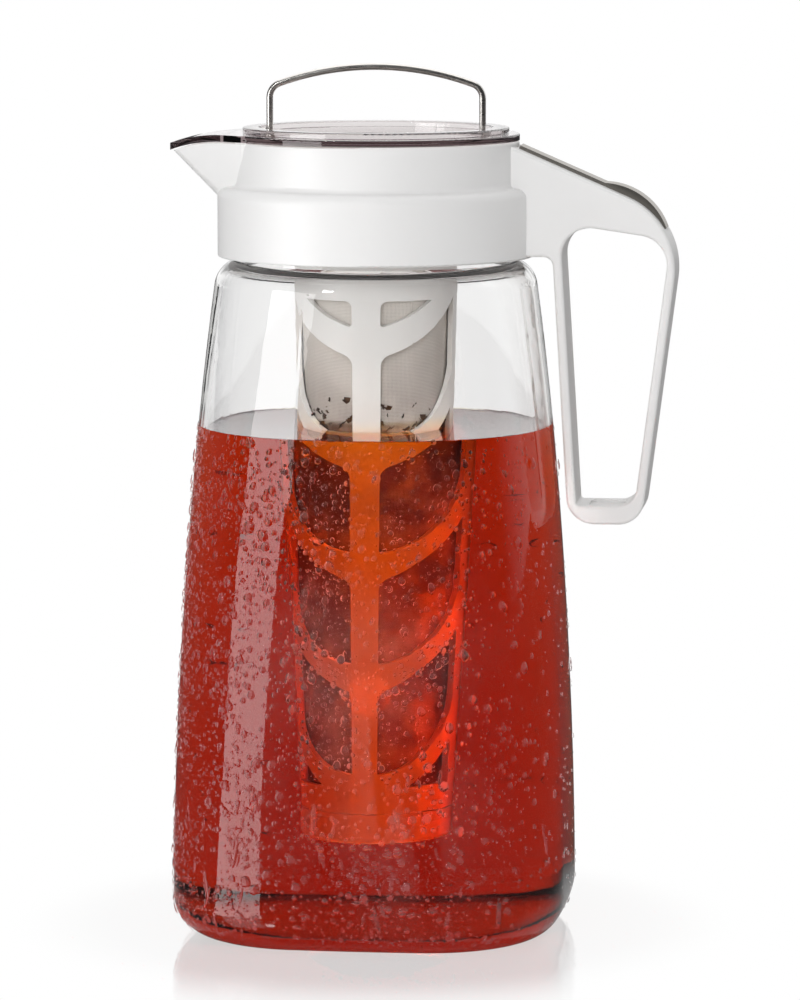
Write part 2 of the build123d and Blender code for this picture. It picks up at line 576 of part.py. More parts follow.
def bail_path():
    """Centre line of the bail in the X-Z plane: foot, leg, corner and crown, and the same again."""
    hub = (0, PIVOT_Z + BAIL_HEIGHT - BAIL_CROWN_ARC)
    corner_x = BAIL_HALF_SPAN - BAIL_CORNER_ROUND
    away = BAIL_CROWN_ARC - BAIL_CORNER_ROUND
    corner = (corner_x, hub[1] + math.sqrt(away ** 2 - corner_x ** 2))
    bearing = math.degrees(math.atan2(corner[1] - hub[1], corner_x))
    shoulder = shifted(hub, bearing, BAIL_CROWN_ARC)
    crown_middle = shifted(hub, (bearing + 90) / 2, BAIL_CROWN_ARC)
    corner_middle = shifted(corner, bearing / 2, BAIL_CORNER_ROUND)
    bend = (BAIL_HALF_SPAN + BAIL_FOOT_ROUND, PIVOT_Z + BAIL_FOOT_ROUND)
    bend_middle = shifted(bend, 225, BAIL_FOOT_ROUND)
    foot_end = (BAIL_HALF_SPAN + BAIL_FOOT_REACH, PIVOT_Z)
    half = [Line(foot_end, (bend[0], PIVOT_Z)),
            ThreePointArc((bend[0], PIVOT_Z), bend_middle, (BAIL_HALF_SPAN, bend[1])),
            Line((BAIL_HALF_SPAN, bend[1]), (BAIL_HALF_SPAN, corner[1])),
            ThreePointArc((BAIL_HALF_SPAN, corner[1]), corner_middle, shoulder),
            ThreePointArc(shoulder, crown_middle, (0, PIVOT_Z + BAIL_HEIGHT))]
    return half


def make_bail_handle():
    """Wire bail whose feet turn outwards into the ring."""
    half = Plane.XZ * Wire([piece.edge() for piece in bail_path()])
    start = Plane(origin=(BAIL_HALF_SPAN + BAIL_FOOT_REACH, 0, PIVOT_Z), z_dir=(-1, 0, 0))
    side = sweep(start * Circle(WIRE_DIAMETER / 2), path=half)
    return side + mirror(side, about=Plane.YZ)


# ---------------------------------------------------------------- infuser
def infuser_radius(z):
    """Outer radius of the infuser at a height: a long taper under a plain band."""
    if z >= BAND_Z:
        return INFUSER_TOP_RADIUS
    share = (z - INFUSER_FOOT_Z) / (BAND_Z - INFUSER_FOOT_Z)
    return INFUSER_FOOT_RADIUS + (INFUSER_TOP_RADIUS - INFUSER_FOOT_RADIUS) * share


def infuser_tube(outset, thick, low, high):
    """Tube that follows the infuser between two heights. Outset moves its outer face off the frame's."""
    levels = [low, BAND_Z, high] if low < BAND_Z < high else [low, high]
    outer = [(infuser_radius(z) + outset, z) for z in levels]
    inner = [(infuser_radius(z) + outset - thick, z) for z in reversed(levels)]
    return spun(*outer, *inner)


def climb(angle, rise, power):
    """How far an edge of a rib has climbed at an angle from the front or back spine."""
    return rise * (angle / SIDE_EDGE_ANGLE) ** power


def window_point(angle, edge):
    """Point of a window's outline, seen square to the middle of its quarter.

    The edge is a function that gives a height at an angle from the front spine.
    """
    z = edge(angle)
    return (infuser_radius(z) * math.sin(math.radians(angle - 45)), z)


def window(low_edge, high_edge, start, end):
    """Flat outline of one window between two edges and two angles, open or closed to a point at its ends."""
    middle = (start + end) / 2
    edges = []
    for edge in (low_edge, high_edge):
        first, halfway, last = (window_point(angle, edge) for angle in (start, middle, end))
        level = edge(start) == edge(end)
        edges.append(Line(first, last) if level else ThreePointArc(first, halfway, last))
    for angle in (start, end):
        low, high = window_point(angle, low_edge), window_point(angle, high_edge)
        if math.dist(low, high) > WINDOW_LEAST:
            edges.append(Line(low, high))
    return make_face(edges)


def rib_level(number):
    """Height of the centre of a pair of ribs at the spine, counted down from the band."""
    return FIRST_RIB_Z - RIB_PITCH * number


def rib_lower(number):
    """Height of a rib's lower edge at an angle from the spine."""
    return lambda angle: rib_level(number) - RIB_HEIGHT / 2 + climb(angle, RIB_LOWER_RISE, RIB_LOWER_POWER)


def rib_upper(number):
    """Height of a rib's upper edge at an angle from the spine."""
    return lambda angle: rib_level(number) + RIB_HEIGHT / 2 + climb(angle, RIB_UPPER_RISE, RIB_UPPER_POWER)


def climb_angle(height, rise, power):
    """Angle from the spine at which an edge has climbed a height."""
    return SIDE_EDGE_ANGLE * (height / rise) ** (1 / power)


def window_faces():
    """Flat outlines of all windows of the right front quarter."""
    start, end = SPINE_HALF_ANGLE, SIDE_EDGE_ANGLE
    faces = []
    for number in range(RIB_COUNT - 1):
        low_edge, high_edge = rib_upper(number + 1), rib_lower(number)
        face = window(low_edge, high_edge, start, end)
        face = round_corner(face, window_point(start, high_edge), WINDOW_CROTCH_ROUND)
        faces.append(round_corner(face, window_point(start, low_edge), WINDOW_FOOT_ROUND))

    def vein(angle):
        return rib_level(0) + RIB_HEIGHT / 2 + climb(angle, RIB_LOWER_RISE, RIB_LOWER_POWER)

    vein_end = climb_angle(BAND_Z - rib_level(0) - RIB_HEIGHT / 2, RIB_LOWER_RISE, RIB_LOWER_POWER)
    face = window(vein, lambda angle: BAND_Z, start, vein_end)
    face = round_corner(face, window_point(start, lambda angle: BAND_Z), WINDOW_BAND_ROUND)
    faces.append(round_corner(face, window_point(start, vein), WINDOW_FOOT_ROUND))
    last = RIB_COUNT - 1
    cup_start = climb_angle(CUP_RIM_Z - rib_level(last) + RIB_HEIGHT / 2, RIB_LOWER_RISE, RIB_LOWER_POWER)
    faces.append(window(lambda angle: CUP_RIM_Z, rib_lower(last), cup_start, end))
    return faces


def make_infuser_frame():
    """Moulded frame of the infuser: band, four spines, leaf-vein ribs, cup and bayonet ledges."""
    frame = infuser_tube(0, INFUSER_WALL, INFUSER_FOOT_Z, INFUSER_TOP_Z)
    half = math.sqrt(0.5)
    quarter = Plane(origin=(0, 0, 0), x_dir=(half, half, 0), z_dir=(half, -half, 0))
    for face in window_faces():
        cutter = extrude(quarter * face, INFUSER_TOP_RADIUS + PAST)
        behind = mirror(cutter, about=Plane.XZ)
        frame -= [cutter, mirror(cutter, about=Plane.YZ), behind, mirror(behind, about=Plane.YZ)]
    bore = INFUSER_TOP_RADIUS - INFUSER_WALL
    low = PLATE_Z - LEDGE_DROP
    high = low + LEDGE_HEIGHT
    for turn in range(LUG_COUNT):
        centre = 360 / LUG_COUNT * turn
        frame += wedge(bore - LEDGE_REACH, bore + INFUSER_WALL / 2, low, high, centre, LEDGE_ANGLE)
        stop = centre + LUG_ANGLE / 2 + STOP_GAP_ANGLE + STOP_ANGLE / 2
        frame += wedge(bore - LEDGE_REACH, bore + INFUSER_WALL / 2, high, high + LUG_HEIGHT, stop, STOP_ANGLE)
    return frame


def make_filter_mesh():
    """Sleeve of fine mesh inside the frame."""
    low, high = INFUSER_FOOT_Z + MESH_FOOT_RISE, INFUSER_TOP_Z - MESH_TOP_DROP
    return infuser_tube(-INFUSER_WALL - MESH_FRAME_GAP, MESH_THICK, low, high)


def make_infuser_base():
    """Cap that closes the infuser's foot, pushed into the cup on a thin spigot, with two grip notches."""
    top = INFUSER_FOOT_Z - CAP_SEAM
    foot = top - CAP_HEIGHT
    spigot = INFUSER_FOOT_RADIUS - INFUSER_WALL - CAP_CLEARANCE
    inner = spigot - CAP_SPIGOT_WALL
    corners = ((0, foot), (INFUSER_FOOT_RADIUS, foot), (INFUSER_FOOT_RADIUS, top), (spigot, top),
               (spigot, top + CAP_SPIGOT), (inner, top + CAP_SPIGOT), (inner, foot + CAP_FLOOR),
               (0, foot + CAP_FLOOR))
    profile = make_face(Polyline(*corners, close=True))
    profile = round_corner(profile, (INFUSER_FOOT_RADIUS, foot), CAP_EDGE_ROUND)
    cap = revolve(Plane.XZ * profile, axis=Axis.Z)
    for side in (-1, 1):
        notch = Box(2 * NOTCH_DEPTH, NOTCH_WIDTH, 2 * NOTCH_HEIGHT)
        cap -= Rot(0, 0, -90 + side * NOTCH_ANGLE) * Pos(INFUSER_FOOT_RADIUS, 0, top) * notch
    return cap


# ---------------------------------------------------------------- the parts
SUB_PARTS = {
    "jug": make_jug,
    "neck_gasket": make_neck_gasket,
    "collar": make_collar,
    "thumb_strip": make_thumb_strip,
    "lid": make_lid,
    "lid_gasket": make_lid_gasket,
    "bail_handle": make_bail_handle,
    "infuser_frame": make_infuser_frame,
    "filter_mesh": make_filter_mesh,
    "infuser_base": make_infuser_base,
}

os.makedirs("parts", exist_ok=True)
for name, make in SUB_PARTS.items():
    export_step(make(), f"parts/{name}.step")
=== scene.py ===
import logging
import math
import random
from contextlib import contextmanager
from dataclasses import dataclass, field
from enum import Enum
from typing import Callable, Iterator

import bmesh
import bpy
import numpy as np
from mathutils import Matrix, Vector, noise
from mathutils.bvhtree import BVHTree


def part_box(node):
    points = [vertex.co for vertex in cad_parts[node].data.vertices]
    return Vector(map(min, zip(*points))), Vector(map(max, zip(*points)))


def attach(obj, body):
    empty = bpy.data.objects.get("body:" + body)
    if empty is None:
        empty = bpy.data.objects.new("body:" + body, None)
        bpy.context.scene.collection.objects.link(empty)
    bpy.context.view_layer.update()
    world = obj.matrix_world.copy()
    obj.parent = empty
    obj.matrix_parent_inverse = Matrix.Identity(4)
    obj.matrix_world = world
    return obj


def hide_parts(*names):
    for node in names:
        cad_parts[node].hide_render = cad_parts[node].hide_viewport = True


# Looks of the iced tea maker, in metres, in the frame of its solids: the spout points to -X, the
# handle to +X and the front is -Y. The rigid pieces keep their solids and get their finishes here.
# The tea, its leaves, the filter's sleeve and the dew on the jug are modelled here.

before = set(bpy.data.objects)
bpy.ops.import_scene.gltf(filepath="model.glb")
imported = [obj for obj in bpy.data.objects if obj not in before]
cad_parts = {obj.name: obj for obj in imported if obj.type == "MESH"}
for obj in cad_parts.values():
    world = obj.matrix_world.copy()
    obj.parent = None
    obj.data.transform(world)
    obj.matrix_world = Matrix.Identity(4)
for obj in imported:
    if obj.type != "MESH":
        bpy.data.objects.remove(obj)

MM = 0.001
MERGE_DISTANCE = 2e-6
SMOOTH_ANGLE = math.radians(32)
ROUND_ANGLE = math.radians(60)
DROP_ANGLE = math.radians(75)
NO_BOUNCE = 0.5  # a ray's depths are whole numbers: below this, it has had no such bounce
INWARD_LEAN = -0.001  # a normal times its place: below this a face looks towards the jug's axis
SLOW_SHADE_SCALE = 26.0
log = logging.getLogger("iced_tea_maker")


class Body(Enum):
    """The moving bodies that the new pieces ride on."""

    JUG = "jug"
    INFUSER = "infuser"


class Slot(Enum):
    """A material slot's name in the record, which no piece here takes its finish from."""

    NYLON = "nylon_mesh"


# ---------------------------------------------------------------- node graphs
class Graph:
    """A node tree with short ways to add and join its nodes."""

    def __init__(self, tree: bpy.types.NodeTree) -> None:
        """Keeps the tree."""
        self.tree = tree

    def add(self, kind: str, values: dict | None = None, **settings: object) -> bpy.types.Node:
        """Adds a node.

        Args:
            kind: The node's type, without its leading ShaderNode.
            values: Plain values or sockets for inputs, by name or index.
            settings: Properties of the node.

        Returns:
            The node.
        """
        node = self.tree.nodes.new(kind if kind.startswith("Node") else "ShaderNode" + kind)
        for key, value in settings.items():
            setattr(node, key, value)
        for key, value in (values or {}).items():
            if isinstance(value, bpy.types.NodeSocket):
                self.tree.links.new(value, node.inputs[key])
            else:
                node.inputs[key].default_value = value
        return node

    def math(self, operation: str, a: object, b: object = 0.0, clamp: bool = False) -> bpy.types.NodeSocket:
        """One Math node.

        Args:
            operation: The node's operation.
            a: First value or socket.
            b: Second value or socket.
            clamp: Whether the result is kept from 0 to 1.

        Returns:
            Its output.
        """
        node = self.add("Math", {0: a, 1: b}, operation=operation, use_clamp=clamp)
        return node.outputs[0]

    def fade(self, value: object, low: float, high: float, start: float = 0.0,
             end: float = 1.0) -> bpy.types.NodeSocket:
        """A smooth step of a value.

        Args:
            value: The socket that is read.
            low: Value at which the step starts.
            high: Value at which the step ends.
            start: Result up to low.
            end: Result from high on.

        Returns:
            The result's socket.
        """
        values = {0: value, 1: low, 2: high, 3: start, 4: end}
        node = self.add("MapRange", values, interpolation_type="SMOOTHSTEP")
        return node.outputs[0]

    def blend(self, share: object, a: object, b: object) -> bpy.types.NodeSocket:
        """A mix of two colours.

        Args:
            share: Share of the second colour.
            a: First colour or socket.
            b: Second colour or socket.

        Returns:
            The mixed colour's socket.
        """
        node = self.add("Mix", data_type="RGBA")
        for index, value in ((0, share), (6, a), (7, b)):
            if isinstance(value, bpy.types.NodeSocket):
                self.tree.links.new(value, node.inputs[index])
            else:
                node.inputs[index].default_value = value
        return node.outputs[2]

    def place(self) -> bpy.types.NodeSocket:
        """The place on the surface, in the space of the object."""
        return self.add("TexCoord").outputs["Object"]

    def bump(self, height: bpy.types.NodeSocket, depth: float, strength: float) -> bpy.types.NodeSocket:
        """A bumped normal.

        Args:
            height: Socket of the height.
            depth: Metres that a height of 1 stands for.
            strength: How much of the bump is used.

        Returns:
            The normal's socket.
        """
        return self.add("Bump", {"Height": height, "Distance": depth, "Strength": strength}).outputs[0]

    def mix(self, share: bpy.types.NodeSocket, first: bpy.types.Node,
            second: bpy.types.Node) -> bpy.types.Node:
        """A mix of two shaders.

        Args:
            share: Share of the second shader.
            first: First shader.
            second: Second shader.

        Returns:
            The mixed shader.
        """
        return self.add("MixShader", {0: share, 1: first.outputs[0], 2: second.outputs[0]})

    def show(self, shader: bpy.types.Node, out: bpy.types.Node) -> None:
        """Joins a shader to the surface of an output node."""
        self.tree.links.new(shader.outputs[0], out.inputs["Surface"])


def rgb(red: float, green: float, blue: float) -> tuple[float, float, float, float]:
    """An opaque colour."""
    return (red, green, blue, 1.0)


def grey(level: float) -> tuple[float, float, float, float]:
    """An opaque grey."""
    return rgb(level, level, level)


def new_group(name: str, inputs: dict[str, float],
              outputs: dict[str, str]) -> tuple[Graph, bpy.types.Node, bpy.types.Node]:
    """Starts a shared effect.

    Args:
        name: The effect's name.
        inputs: Default values of its inputs, by name.
        outputs: Socket types of its outputs, by name.

    Returns:
        Its graph, its input node and its output node.
    """
    tree = bpy.data.node_groups.new(name, "ShaderNodeTree")
    for key, value in inputs.items():
        socket = tree.interface.new_socket(key, in_out="INPUT", socket_type="NodeSocketFloat")
        socket.default_value = value
    for key, kind in outputs.items():
        tree.interface.new_socket(key, in_out="OUTPUT", socket_type=kind)
    graph = Graph(tree)
    return graph, graph.add("NodeGroupInput"), graph.add("NodeGroupOutput")


def moulding_grain() -> bpy.types.NodeTree:
    """Fine grain and slow unevenness of a moulded surface.

    Returns:
        The group, with a Height and a Shade that is 1 on average.
    """
    graph, given, out = new_group("moulding_grain", {"Scale": 900.0, "Shade Depth": 0.03},
                                  {"Height": "NodeSocketFloat", "Shade": "NodeSocketFloat"})
    place = graph.place()
    fine = graph.add("TexNoise", {"Vector": place, "Scale": given.outputs["Scale"], "Detail": 2.0})
    slow = graph.add("TexNoise", {"Vector": place, "Scale": SLOW_SHADE_SCALE, "Detail": 2.0})
    off = graph.math("SUBTRACT", slow.outputs["Fac"], 0.5)
    shade = graph.math("ADD", graph.math("MULTIPLY", off, given.outputs["Shade Depth"]), 1.0)
    graph.tree.links.new(fine.outputs["Fac"], out.inputs["Height"])
    graph.tree.links.new(shade, out.inputs["Shade"])
    return graph.tree


def drawn_lines() -> bpy.types.NodeTree:
    """Fine lines that drawing and brushing leave along X.

    Returns:
        The group, with a Height.
    """
    graph, given, out = new_group("drawn_lines", {"Fineness": 2600.0, "Stretch": 0.04},
                                  {"Height": "NodeSocketFloat"})
    place = graph.place()
    split = graph.add("SeparateXYZ", {0: place})
    along = graph.math("MULTIPLY", split.outputs[0], given.outputs["Stretch"])
    joined = graph.add("CombineXYZ", {0: along, 1: split.outputs[1], 2: split.outputs[2]})
    fineness = given.outputs["Fineness"]
    lines = graph.add("TexNoise", {"Vector": joined.outputs[0], "Scale": fineness, "Detail": 3.0})
    graph.tree.links.new(lines.outputs["Fac"], out.inputs["Height"])
    return graph.tree


class Effects:
    """The shared effects, each built once."""

    def __init__(self) -> None:
        """Builds the groups."""
        self.grain = moulding_grain()
        self.lines = drawn_lines()


# ---------------------------------------------------------------- finishes
def new_material(name: str) -> tuple[bpy.types.Material, Graph, bpy.types.Node]:
    """An empty node material.

    Args:
        name: The material's name.

    Returns:
        The material, its graph and its output node.
    """
    material = bpy.data.materials.new(name)
    material.use_nodes = True
    material.node_tree.nodes.clear()
    graph = Graph(material.node_tree)
    return material, graph, graph.add("OutputMaterial")


def tinted(graph: Graph, colour: tuple, shade: bpy.types.NodeSocket) -> bpy.types.NodeSocket:
    """A colour times a shade.

    Args:
        graph: The graph to add to.
        colour: The colour.
        shade: Socket of the shade.

    Returns:
        The product's socket.
    """
    spread = graph.add("CombineXYZ", {0: shade, 1: shade, 2: shade})
    node = graph.add("VectorMath", {0: colour[:3], 1: spread.outputs[0]}, operation="MULTIPLY")
    return node.outputs[0]


def outward(graph: Graph) -> tuple[bpy.types.NodeSocket, bpy.types.NodeSocket, bpy.types.NodeSocket]:
    """Which way a surface faces, whichever side the ray meets it from.

    Args:
        graph: The graph to add to.

    Returns:
        Sockets of how far its normal leans away from the jug's axis and upwards, and of its height.
    """
    surface = graph.add("NewGeometry")
    side = graph.math("SUBTRACT", 1.0, graph.math("MULTIPLY", surface.outputs["Backfacing"], 2.0))
    normal = graph.add("SeparateXYZ", {0: surface.outputs["True Normal"]})
    place = graph.add("SeparateXYZ", {0: surface.outputs["Position"]})
    along_x = graph.math("MULTIPLY", normal.outputs[0], place.outputs[0])
    along_y = graph.math("MULTIPLY", normal.outputs[1], place.outputs[1])
    away = graph.math("MULTIPLY", graph.math("ADD", along_x, along_y), side)
    return away, graph.math("MULTIPLY", normal.outputs[2], side), place.outputs[2]


@dataclass(frozen=True)
class MouldedPlastic:
    """Opaque moulded plastic or rubber with a fine grain.

    Faces within painted_glow_radius of the axis that look inwards or down get a painted glow: emission in the
    plastic's own colour, standing in for light shining through white plastic, that lightens these shaded
    faces.
    """

    name: str
    colour: tuple[float, float, float, float]
    roughness: float
    grain_scale: float = 900.0
    grain_depth: float = 0.00001
    grain_strength: float = 0.5
    shade_depth: float = 0.03
    ior: float = 1.5
    # Painted glow: emission strength, and how far from the axis it reaches.
    painted_glow_strength: float = 0.0
    painted_glow_radius: float = 0.0475
    underside: float = -0.5

    def make(self, effects: Effects) -> bpy.types.Material:
        """Builds the material.

        Args:
            effects: The shared effects.

        Returns:
            The material.
        """
        material, graph, out = new_material(self.name)
        grain = graph.add("Group", node_tree=effects.grain)
        grain.inputs["Scale"].default_value = self.grain_scale
        grain.inputs["Shade Depth"].default_value = self.shade_depth
        normal = graph.bump(grain.outputs["Height"], self.grain_depth, self.grain_strength)
        rough = graph.math("MULTIPLY", grain.outputs["Shade"], self.roughness)
        shader = graph.add("BsdfPrincipled", {
            "Base Color": tinted(graph, self.colour, grain.outputs["Shade"]),
            "Roughness": rough,
            "Normal": normal,
            "IOR": self.ior,
        })
        # Painted glow: emission lightens the inward-facing and downward-facing faces near the axis, which lie
        # in shade.
        if self.painted_glow_strength:
            away, upwards, _ = outward(graph)
            inwards = graph.math("LESS_THAN", away, INWARD_LEAN)
            shaded_faces = graph.math("MAXIMUM", inwards, graph.math("LESS_THAN", upwards, self.underside))
            place = graph.add("NewGeometry").outputs["Position"]
            flat = graph.add("VectorMath", {0: place, 1: (1.0, 1.0, 0.0)}, operation="MULTIPLY").outputs[0]
            radius = graph.add("VectorMath", {0: flat}, operation="LENGTH").outputs["Value"]
            inside = graph.math("MULTIPLY", shaded_faces, graph.math("LESS_THAN", radius, self.painted_glow_radius))
            glow = graph.math("MULTIPLY", inside, self.painted_glow_strength)
            graph.tree.links.new(glow, shader.inputs["Emission Strength"])
            shader.inputs["Emission Color"].default_value = self.colour
        graph.show(shader, out)
        return material


@dataclass(frozen=True)
class BrushedSteel:
    """Stainless steel with fine lines."""

    name: str
    colour: tuple[float, float, float, float]
    roughness: float
    line_depth: float
    line_strength: float = 0.6
    line_roughness: float = 0.18

    def make(self, effects: Effects) -> bpy.types.Material:
        """Builds the material.

        Args:
            effects: The shared effects.

        Returns:
            The material.
        """
        material, graph, out = new_material(self.name)
        lines = graph.add("Group", node_tree=effects.lines).outputs["Height"]
        normal = graph.bump(lines, self.line_depth, self.line_strength)
        rough = graph.math("ADD", graph.math("MULTIPLY", lines, self.line_roughness), self.roughness)
        shader = graph.add("BsdfPrincipled", {
            "Base Color": self.colour,
            "Metallic": 1.0,
            "Roughness": rough,
            "Normal": normal,
        })
        graph.show(shader, out)
        return material


@dataclass(frozen=True)
class ClearMedium:
    """Clear plastic or liquid. Lamps reach what is behind it, dimmed by what it absorbs."""

    name: str
    ior: float
    absorbed: tuple[float, float, float, float]
    density: float
    colour: tuple[float, float, float, float] = (1.0, 1.0, 1.0, 1.0)
    roughness: float = 0.0
    line: float = 0.0

    def surface(self, graph: Graph) -> tuple[bpy.types.Node, bpy.types.NodeSocket]:
        """The shader that bends light, and the share of light that passes it unbent.

        Args:
            graph: The material's graph.

        Returns:
            The shader and the share's socket.
        """
        shader = graph.add("BsdfPrincipled", {
            "Base Color": self.colour,
            "Roughness": self.roughness,
            "IOR": self.ior,
            "Transmission Weight": 1.0,
        })
        return shader, graph.add("LightPath").outputs["Is Shadow Ray"]

    def make(self, effects: Effects) -> bpy.types.Material:
        """Builds the material.

        Args:
            effects: The shared effects, of which clear media use none.

        Returns:
            The material.
        """
        material, graph, out = new_material(self.name)
        shader, unbent = self.surface(graph)
        passing = graph.add("BsdfTransparent", {"Color": self.colour})
        mixed = graph.mix(unbent, shader, passing)
        graph.show(mixed, out)
        if self.density:
            inside = graph.add("VolumeAbsorption", {"Color": self.absorbed, "Density": self.density})
            graph.tree.links.new(inside.outputs[0], out.inputs["Volume"])
        return material


@dataclass(frozen=True)
class FilledWall(ClearMedium):
    """Clear wall or drop whose faces towards the axis, up to a line, pass light unbent.

    There it touches the tea or the wall. Up to the floor's height, faces that look up do the same.
    """

    floor: float = 0.03
    floor_lean: float = 0.2

    def surface(self, graph: Graph) -> tuple[bpy.types.Node, bpy.types.NodeSocket]:
        """The shader that bends light, and the share that passes it unbent, all of it where it is wet.

        Args:
            graph: The material's graph.

        Returns:
            The shader and the share's socket.
        """
        shader, unbent = super().surface(graph)
        away, upwards, height = outward(graph)
        low = graph.math("LESS_THAN", height, self.floor)
        bottom = graph.math("MULTIPLY", graph.math("GREATER_THAN", upwards, self.floor_lean), low)
        inner = graph.math("MAXIMUM", graph.math("LESS_THAN", away, INWARD_LEAN), bottom)
        wet = graph.math("MULTIPLY", inner, graph.math("LESS_THAN", height, self.line))
        return shader, graph.math("MAXIMUM", unbent, wet)


@dataclass(frozen=True)
class PouredLiquid(ClearMedium):
    """Liquid that bends light by its own index at its open top, and by less at its sides.

    Its sides lie against the wall, so there it bends by its index over the wall's.
    """

    wall_ior: float = 1.5
    top_lean: float = 0.25

    def surface(self, graph: Graph) -> tuple[bpy.types.Node, bpy.types.NodeSocket]:
        """The shader that bends light, and the share that passes it unbent.

        Args:
            graph: The material's graph.

        Returns:
            The shader and the share's socket.
        """
        shader, unbent = super().surface(graph)
        _, upwards, height = outward(graph)
        top = graph.math("MULTIPLY", graph.math("GREATER_THAN", upwards, self.top_lean),
                         graph.math("GREATER_THAN", height, self.line))
        more = graph.math("MULTIPLY", top, self.ior - self.ior / self.wall_ior)
        graph.tree.links.new(graph.math("ADD", more, self.ior / self.wall_ior), shader.inputs["IOR"])
        return shader, unbent


@dataclass(frozen=True)
class Fog:
    """Thin mist of water on the cold wall, patchy, with clear tracks where drops have run."""

    name: str
    line: float
    colour: tuple[float, float, float, float] = (0.93, 0.88, 0.84, 1.0)
    least: float = 0.0002
    most: float = 0.004
    roughness: float = 0.5
    patch_scale: float = 22.0
    patch_edge: tuple[float, float] = (0.36, 0.66)
    speck_scale: float = 1100.0
    speck_edge: tuple[float, float] = (0.25, 0.6)
    speck_thin: float = 0.35
    track_width: float = 0.004
    track_top: float = 0.085
    track_fade: float = 0.7
    track_squeeze: float = 0.11
    track_scale: float = 95.0
    track_edge: tuple[float, float] = (0.66, 0.70)
    wander_scale: float = 45.0
    edge: tuple[float, float] = (-0.004, 0.001)

    def make(self, effects: Effects) -> bpy.types.Material:
        """Builds the material.

        Args:
            effects: The shared effects, of which the mist uses none.

        Returns:
            The material.
        """
        material, graph, out = new_material(self.name)
        place = graph.place()
        split = graph.add("SeparateXYZ", {0: place})
        patch = graph.add("TexNoise", {
            "Vector": place,
            "Scale": self.patch_scale,
            "Detail": 5.0,
            "Roughness": 0.62,
        })
        patches = graph.fade(patch.outputs["Fac"], *self.patch_edge)
        fine = graph.add("TexVoronoi", {"Vector": place, "Scale": self.speck_scale}, feature="F1")
        specks = graph.fade(fine.outputs["Distance"], *self.speck_edge, 1.0, self.speck_thin)
        squeezed = graph.math("MULTIPLY", split.outputs[2], self.track_squeeze)
        wander = graph.add("TexNoise", {"Vector": place, "Scale": self.wander_scale, "Detail": 1.0})
        shift = graph.math("MULTIPLY", graph.math("SUBTRACT", wander.outputs["Fac"], 0.5), self.track_width)
        shifted = graph.math("ADD", split.outputs[0], shift)
        across = graph.add("CombineXYZ", {0: shifted, 1: split.outputs[1], 2: squeezed})
        streak = graph.add("TexNoise", {"Vector": across.outputs[0], "Scale": self.track_scale,
                                        "Detail": 0.0})
        tracks = graph.fade(streak.outputs["Fac"], *self.track_edge)
        low = graph.fade(split.outputs[2], self.track_top * self.track_fade, self.track_top, 1.0, 0.0)
        kept = graph.math("SUBTRACT", 1.0, graph.math("MULTIPLY", tracks, low), clamp=True)
        edge = graph.fade(split.outputs[2], self.line + self.edge[0], self.line + self.edge[1], 1.0, 0.0)
        veil = graph.math("ADD", graph.math("MULTIPLY", patches, self.most - self.least), self.least)
        film = graph.math("MULTIPLY", veil, specks)
        alpha = graph.math("MULTIPLY", film, graph.math("MULTIPLY", kept, edge))
        shader = graph.add("BsdfPrincipled", {
            "Base Color": self.colour,
            "Roughness": self.roughness,
            "Alpha": alpha,
            "Specular IOR Level": 0.0,
        })
        graph.show(shader, out)
        return material


@dataclass(frozen=True)
class NylonWeave:
    """Fine plain weave of nylon yarn with open gaps, on a sleeve about Z."""

    name: str
    colour: tuple[float, float, float, float]
    stain: tuple[float, float, float, float]
    radius: float
    pitch: float
    stain_line: float
    roughness: float = 0.55
    yarn_depth: float = 0.00004
    yarn_strength: float = 0.7
    yarn_edge: tuple[float, float] = (-0.35, 0.25)
    gap_cover: float = 0.46
    yarn_cover: float = 0.42
    blotch_scale: float = 70.0
    blotch_edge: tuple[float, float] = (0.25, 0.60)
    least_stain: float = 0.5
    soaked_edge: tuple[float, float] = (0.0015, 0.0055)
    drawn_height: float = 0.034
    drawn_share: float = 0.5

    def make(self, effects: Effects) -> bpy.types.Material:
        """Builds the material.

        Args:
            effects: The shared effects, of which the weave uses none.

        Returns:
            The material.
        """
        material, graph, out = new_material(self.name)
        place = graph.place()
        split = graph.add("SeparateXYZ", {0: place})
        angle = graph.math("ARCTAN2", split.outputs[1], split.outputs[0])
        turn = math.tau / self.pitch
        around = graph.math("SINE", graph.math("MULTIPLY", angle, self.radius * turn))
        up = graph.math("SINE", graph.math("MULTIPLY", split.outputs[2], turn))
        over = graph.math("MAXIMUM", around, up)
        yarn = graph.fade(over, *self.yarn_edge)
        alpha = graph.math("ADD", graph.math("MULTIPLY", yarn, self.yarn_cover), self.gap_cover)
        normal = graph.bump(over, self.yarn_depth, self.yarn_strength)
        blotch = graph.add("TexNoise", {"Vector": place, "Scale": self.blotch_scale, "Detail": 4.0})
        height = split.outputs[2]
        low, high = self.soaked_edge
        soaked = graph.fade(height, self.stain_line + low, self.stain_line + high, 1.0, 0.0)
        drawn_to = self.stain_line + self.drawn_height
        drawn_up = graph.fade(height, self.stain_line, drawn_to, self.drawn_share, 0.0)
        wet = graph.math("MAXIMUM", soaked, drawn_up)
        patches = graph.fade(blotch.outputs["Fac"], *self.blotch_edge, self.least_stain, 1.0)
        share = graph.math("MULTIPLY", wet, patches)
        colour = graph.blend(share, self.colour, self.stain)
        shader = graph.add("BsdfPrincipled", {
            "Base Color": colour,
            "Roughness": self.roughness,
            "Alpha": alpha,
            "Normal": normal,
        })
        graph.show(shader, out)
        return material


